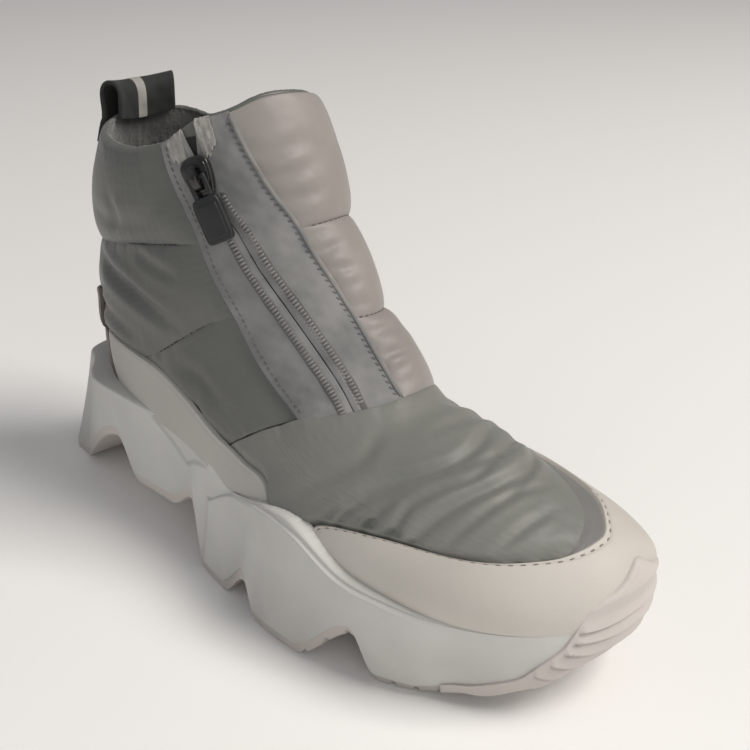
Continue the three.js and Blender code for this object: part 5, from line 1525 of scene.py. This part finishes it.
    def welt(self) -> None:
        """The corded welt between the placket and the baffles."""
        path, normals = self.line_path(PLACKET_INNER, 0.2, 7.15, 14.85, 1.5)
        self.wardrobe.dress(cord_object("baffle_welt", path, normals, 0.85), TAPE, "placket_textile")

    def cap_seam(self) -> None:
        """Topstitching below the toe cap's edge."""
        turn = np.linspace(-80, 78, 500)
        level = CAP_TOP(turn)
        skin, normal = LAST.skin(level, turn), LAST.normal(level, turn)
        down = unit(LAST.skin(level - 0.05, turn) - skin)
        path = (skin + down * 2.6 - normal * 0.15, normal)
        piece = repeated("cap_stitches", self.STITCH, [path], 4.0)
        self.wardrobe.dress(piece, THREAD, "coated_overlay")

    def quilt_threads(self) -> None:
        """Short stitches in the quilting's seams, round the foot and across the baffles."""
        shaft, baffle = [], []
        for line in (LOW_QUILT, HIGH_QUILT):
            turn = np.linspace(76, 290, 500)
            turn = turn[np.abs(wrap(turn)) > 72]
            level = line(wrap(turn))
            shaft.append((LAST.at(level, turn, 0.1 + LAST.quilt(level, turn)), LAST.normal(level, turn)))
            turn = np.linspace(-12, 60, 500)
            level = line(turn)
            keep = (turn > PLACKET_INNER(level) + 1.5) & (turn < BAFFLE_INNER(level) - 1.5)
            turn, level = turn[keep], level[keep]
            baffle.append((LAST.at(level, turn, 1.75), LAST.normal(level, turn)))
        for name, paths, finish, slot in (
            ("quilt_stitches_shaft", shaft, THREAD_DEEP, "upper_textile"),
            ("quilt_stitches_baffle", baffle, THREAD_WARM, "padded_front"),
        ):
            self.wardrobe.dress(repeated(name, self.FINE_STITCH, paths, 2.6), finish, slot)

    def build(self) -> None:
        """Makes all pieces of the front."""
        self.baffles()
        self.teeth()
        self.slit()
        self.placket_stitches()
        self.quilt_threads()
        self.welt()
        self.cap_seam()
        self.flap("placket_outer", PLACKET_OUTER, -1.0)
        self.flap("placket_inner", PLACKET_INNER, 1.0)
        self.coil_shade_band("coil_shade_band_outer", -1.0)
        self.coil_shade_band("coil_shade_band_inner", 1.0)
        self.tape_end("tape_end_outer", -61.0, -67.5, 9.0)
        self.tape_end("tape_end_inner", -53.5, -46.5, 11.0)


def outline_rings(outline: Array, steps: Rows) -> Array:
    """Rings of a flat closed outline, each drawn in by a distance along the outline's normals at a height."""
    tangent = unit(np.roll(outline, -1, 0) - np.roll(outline, 1, 0))
    inward = np.stack([-tangent[:, 1], tangent[:, 0]], -1)
    column = np.ones((len(outline), 1))
    return np.stack([np.concatenate([outline + inward * inset, column * z], 1) for inset, z in steps])


def plate(outline: Array, low: float, high: float, bevel: float) -> tuple[Array, Array]:
    """A plate of a closed outline, run anticlockwise, with round edges. Its faces are closed by strips."""
    bends = [(bevel * (1 - math.cos(a)), bevel * (1 - math.sin(a))) for a in np.radians([90, 60, 30, 0])]
    steps = [(inset, low + rise) for inset, rise in bends]
    steps += [(inset, high - rise) for inset, rise in bends[::-1]]
    rings = outline_rings(outline, tuple(steps))
    count = len(outline)
    faces, _ = grid_faces(len(rings), count, False, True)
    k = np.arange((count - 1) // 2)
    strip = np.stack([k, k + 1, (count - k - 2) % count, (count - k - 1) % count], -1)
    top = strip + (len(rings) - 1) * count
    return rings.reshape(-1, 3), np.concatenate([faces, strip[:, ::-1], top])


def lozenge(half: Rows) -> Array:
    """A closed outline that is alike on both sides of its axis, with rounded corners.

    Args:
        half: the corners on one side.

    Returns:
        The outline's points.
    """
    return rounded(half + tuple((x, -y) for x, y in half[::-1]))


def rounded(points: Rows) -> Array:
    """A closed outline through corner points, each corner rounded by a curve of even shares."""
    corners = np.array(points)
    before, after = np.roll(corners, 1, 0), np.roll(corners, -1, 0)
    t = np.linspace(0, 1, 12)[:, None, None]
    start, end = blend(corners, before, 0.35), blend(corners, after, 0.35)
    curve = blend(blend(start, corners, t), blend(corners, end, t), t)
    return curve.transpose(1, 0, 2).reshape(-1, 2)


@dataclass(frozen=True)
class Zip:
    """The slider and its pull tab, in the zip's own frame: down along it, across it and outwards.

    Attributes:
        pivot: the pull's hinge in the part's frame, in millimetres.
        down: the direction along the zip.
        across: the hinge's direction.
    """

    pivot: Place
    down: Place = (0.44737, 0.09015, -0.88979)
    across: Place = (0.79204, 0.42213, 0.44100)

    def placed(self, name: str, parts: list[tuple[Array, Array]]) -> bpy.types.Object:
        """One object of several closed parts, turned from the zip's frame into the part's."""
        frame = np.array([self.down, self.across, np.cross(self.down, self.across)])
        points, faces, start = [], [], 0
        for part, quads in parts:
            points.append(part @ frame + np.array(self.pivot))
            faces.append(quads + start)
            start += len(part)
        return mesh_object(name, np.concatenate(points), np.concatenate(faces), None, 35)

    def slider(self) -> bpy.types.Object:
        """The slider: two stacked lozenge plates and a bowed bridge over the pull's bar."""
        body = lozenge(((-7.6, -2.6), (-5, -5.9), (1, -5.6), (7.4, -3.4)))
        parts = [plate(body, -4.1, -1.55, 0.6), plate(body * 0.8 + np.array([-0.4, 0]), -1.8, -1.2, 0.3)]
        steps, sides = 22, 12
        reach, foot, rise = 4.0, -1.4, 3.9
        angle = np.linspace(0, np.pi, steps)
        spine = np.stack([-reach * np.cos(angle), np.zeros(steps), foot + rise * np.sin(angle) ** 0.7], -1)
        tangent = unit(np.gradient(spine, axis=0))
        out = np.stack([-tangent[:, 2], tangent[:, 1], tangent[:, 0]], -1)
        around = np.linspace(0, 2 * np.pi, sides, endpoint=False)
        wide, high = (np.sign(wave) * np.abs(wave) ** 0.6 for wave in (np.cos(around), np.sin(around)))
        across = (wide * 1.45)[None, :, None] * np.array([0, 1, 0])
        tube = spine[:, None] + across + (high * 0.7)[None, :, None] * out[:, None]
        faces, _ = grid_faces(steps, sides, False, True)
        parts.append((tube.reshape(-1, 3), faces[:, ::-1]))
        return self.placed("slider_body", parts)

    def tab(self) -> bpy.types.Object:
        """The pull tab: a moulded plate with a raised pad on two arms, and the bar that it swings on."""
        pad = lozenge(((7, -4.4), (9.4, -5.5), (22.6, -5.5), (24, -4.4)))
        face = lozenge(((9.4, -3.6), (10.6, -4.2), (21.6, -4.2), (22.6, -3.4)))
        parts = [plate(pad, -0.95, 1.35, 0.55), plate(face, 1.0, 1.75, 0.35)]
        arm = rounded(((-1.0, 1.95), (2, 1.95), (8, 1.95), (8, 3.8), (2, 3.8), (-1.0, 3.8)))
        parts.append(plate((arm * np.array([1, -1]))[::-1], -0.75, 0.75, 0.3))
        parts.append(plate(arm, -0.75, 0.75, 0.3))
        sides = 14
        angle = np.linspace(0, 2 * np.pi, sides, endpoint=False)
        width = np.array([-3.6, -3.4, 3.4, 3.6])[:, None]
        radius = np.array([0.5, 0.88, 0.88, 0.5])[:, None]
        ring = np.broadcast_arrays(radius * np.cos(angle), width, radius * np.sin(angle))
        bar = np.stack(ring, -1)
        faces, _ = grid_faces(len(width), sides, False, True)
        parts.append((bar.reshape(-1, 3), faces))
        return self.placed("pull_tab_body", parts)

    def build(self, wardrobe: Wardrobe) -> None:
        """Makes the slider on the boot and the tab on its own body."""
        wardrobe.dress(self.slider(), PAINTED, "slider_metal", nodes=("zip_slider",))
        wardrobe.dress(self.tab(), TAB_PLASTIC, "tab_plastic", "pull_tab", ("zip_pull_tab",))


@dataclass(frozen=True)
class PullLoop:
    """The webbing loop over the collar at the heel.

    Attributes:
        width: width of the webbing.
        thickness: its thickness.
        rise: how high it stands over the collar.
        drop: how far its legs reach down.
        gap: distance between a leg and the cloth that it lies on.
    """

    width: float = 35.0
    thickness: float = 1.6
    rise: float = 11.0
    drop: float = 11.0
    gap: float = 1.05

    def column(self, turn: Array, side: float) -> Array:
        """Lines of points over the collar: up the outer leg, round an arch and down the inner leg."""
        edge = np.full_like(turn, COLLAR(180.0) - 0.1)
        half = self.thickness / 2
        outer = self.gap + half
        inner = -LAST.wall - self.gap - half
        lines = []
        for share in np.linspace(1, 0, 14):
            level = edge - self.drop / LEVEL_HEIGHT * share
            lines.append(LAST.at(level, turn, LAST.quilt(level, turn) + outer + side * half))
        start = LAST.at(edge, turn, LAST.quilt(edge, turn) + outer)
        end = LAST.at(edge, turn, inner)
        middle = (start + end) / 2
        away = unit((start - end) * np.array([1, 1, 0]))
        reach = np.linalg.norm(start - end, axis=-1) / 2
        for angle in np.linspace(0, np.pi, 34)[1:-1]:
            wide = reach + 1.6 * np.sin(angle) + side * half
            high = self.rise * np.sin(angle) ** 0.7 + 1.4 + side * half * np.sin(angle)
            lines.append(middle + away * (wide * np.cos(angle))[:, None] + np.array([0, 0, 1.0]) * high)
        for share in np.linspace(0, 0.1, 3):
            lines.append(LAST.at(edge - self.drop / LEVEL_HEIGHT * share, turn, inner - side * half))
        return np.stack(lines, 1)

    def build(self, wardrobe: Wardrobe) -> None:
        """Makes the band, and the pale stripe down its middle."""
        collar_radius = LAST.width * 0.38
        half = math.degrees(math.asin(self.width / 2 / collar_radius))
        for name, finish, reach, count, lift in (
            ("loop_webbing", WEBBING, 0.9, 40, 1.0),
            ("loop_stripe", WEBBING_STRIPE, 0.12, 8, 1.16),
        ):
            turn = wrap(180 + np.linspace(-reach, reach, count) * half)
            piece = slab_object(name, self.column(turn, lift), self.column(turn, -1.0))
            wardrobe.dress(piece, finish, "loop_webbing", nodes=("pull_loop",))


@dataclass(frozen=True)
class Studio:
    """Floor, lights and camera.

    Attributes:
        place: the camera's place in millimetres.
        yaw: the view's turn from +X, in degrees.
        pitch: its tilt, downwards where negative.
        roll: its turn about its own axis.
        lens: focal length in millimetres on a 36 mm sensor.
    """

    place: Place = (285.44, -284.46, 269.43)
    yaw: float = 131.5
    pitch: float = -25.42
    roll: float = 1.25
    lens: float = 55.33

    def camera(self) -> None:
        """Makes the camera at the photograph's angle to the boot."""
        y, p, r = (math.radians(a) for a in (self.yaw, self.pitch, self.roll))
        look = Vector((math.cos(p) * math.cos(y), math.cos(p) * math.sin(y), math.sin(p)))
        right = look.cross(Vector((0, 0, 1))).normalized()
        up = right.cross(look)
        x = right * math.cos(r) + up * math.sin(r)
        z = -look
        turned = Matrix((x, z.cross(x), z)).transposed()
        data = bpy.data.cameras.new("camera")
        data.lens = self.lens
        data.sensor_width = 36.0
        data.clip_start = 0.01
        camera = bpy.data.objects.new("camera", data)
        camera.matrix_world = Matrix.Translation(Vector(self.place) * MM) @ turned.to_4x4()
        bpy.context.scene.collection.objects.link(camera)
        bpy.context.scene.camera = camera

    def light(self, name: str, place: Place, size: float, power: float, colour: str) -> None:
        """Adds a soft square light in metres, aimed at the boot's middle."""
        data = bpy.data.lights.new(name, "AREA")
        data.size = size
        data.energy = power
        data.color = linear(colour)[:3]
        lamp = bpy.data.objects.new(name, data)
        lamp.location = place
        aim = Vector((0.0, 0.0, 0.07)) - Vector(place)
        lamp.rotation_euler = aim.to_track_quat("-Z", "Y").to_euler()
        bpy.context.scene.collection.objects.link(lamp)

    def floor(self) -> None:
        """A wide pale floor."""
        half_side = 4000.0
        points = half_side * np.array([[-1, -1, 0], [1, -1, 0], [1, 1, 0], [-1, 1, 0]])
        floor = mesh_object("floor", points, np.array([[0, 1, 2, 3]]))
        made = bpy.data.materials.new("pale_floor")
        made.use_nodes = True
        shader = made.node_tree.nodes["Principled BSDF"]
        shader.inputs["Base Color"].default_value = linear("#fbfaf8")
        shader.inputs["Roughness"].default_value = 0.7
        floor.data.materials.append(made)

    def build(self) -> None:
        """Sets up the whole studio."""
        self.camera()
        self.floor()
        self.light("key", (1.5, 0.7, 2.2), 1.3, 58.0, "#fffaf5")
        self.light("fill", (-0.5, -1.0, 0.8), 1.2, 1.2, "#f6f7ff")
        self.light("front", (0.9, -0.7, 0.45), 0.9, 2.4, "#ffffff")
        world = bpy.data.worlds.new("studio")
        world.use_nodes = True
        world.node_tree.nodes["Background"].inputs[0].default_value = linear("#f4f4f4")
        world.node_tree.nodes["Background"].inputs[1].default_value = 0.25
        bpy.context.scene.world = world
        bpy.context.scene.view_settings.view_transform = "Standard"


def main() -> None:
    """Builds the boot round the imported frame."""
    logging.basicConfig(level=logging.INFO, format="%(name)s %(message)s")
    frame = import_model()
    pivot = next(joint for joint in frame["joints"] if joint["child"] == "pull_tab")["pos_m"]
    wardrobe = Wardrobe()
    Sole(wardrobe).build()
    Upper(wardrobe).build()
    Front(wardrobe).build()
    Zip(tuple(value / MM for value in pivot)).build(wardrobe)
    PullLoop().build(wardrobe)
    wardrobe.dress(frame["nodes"]["insole"], INSOLE_CLOTH, "insole_textile")
    Studio().build()


if __name__ == "__main__":
    main()
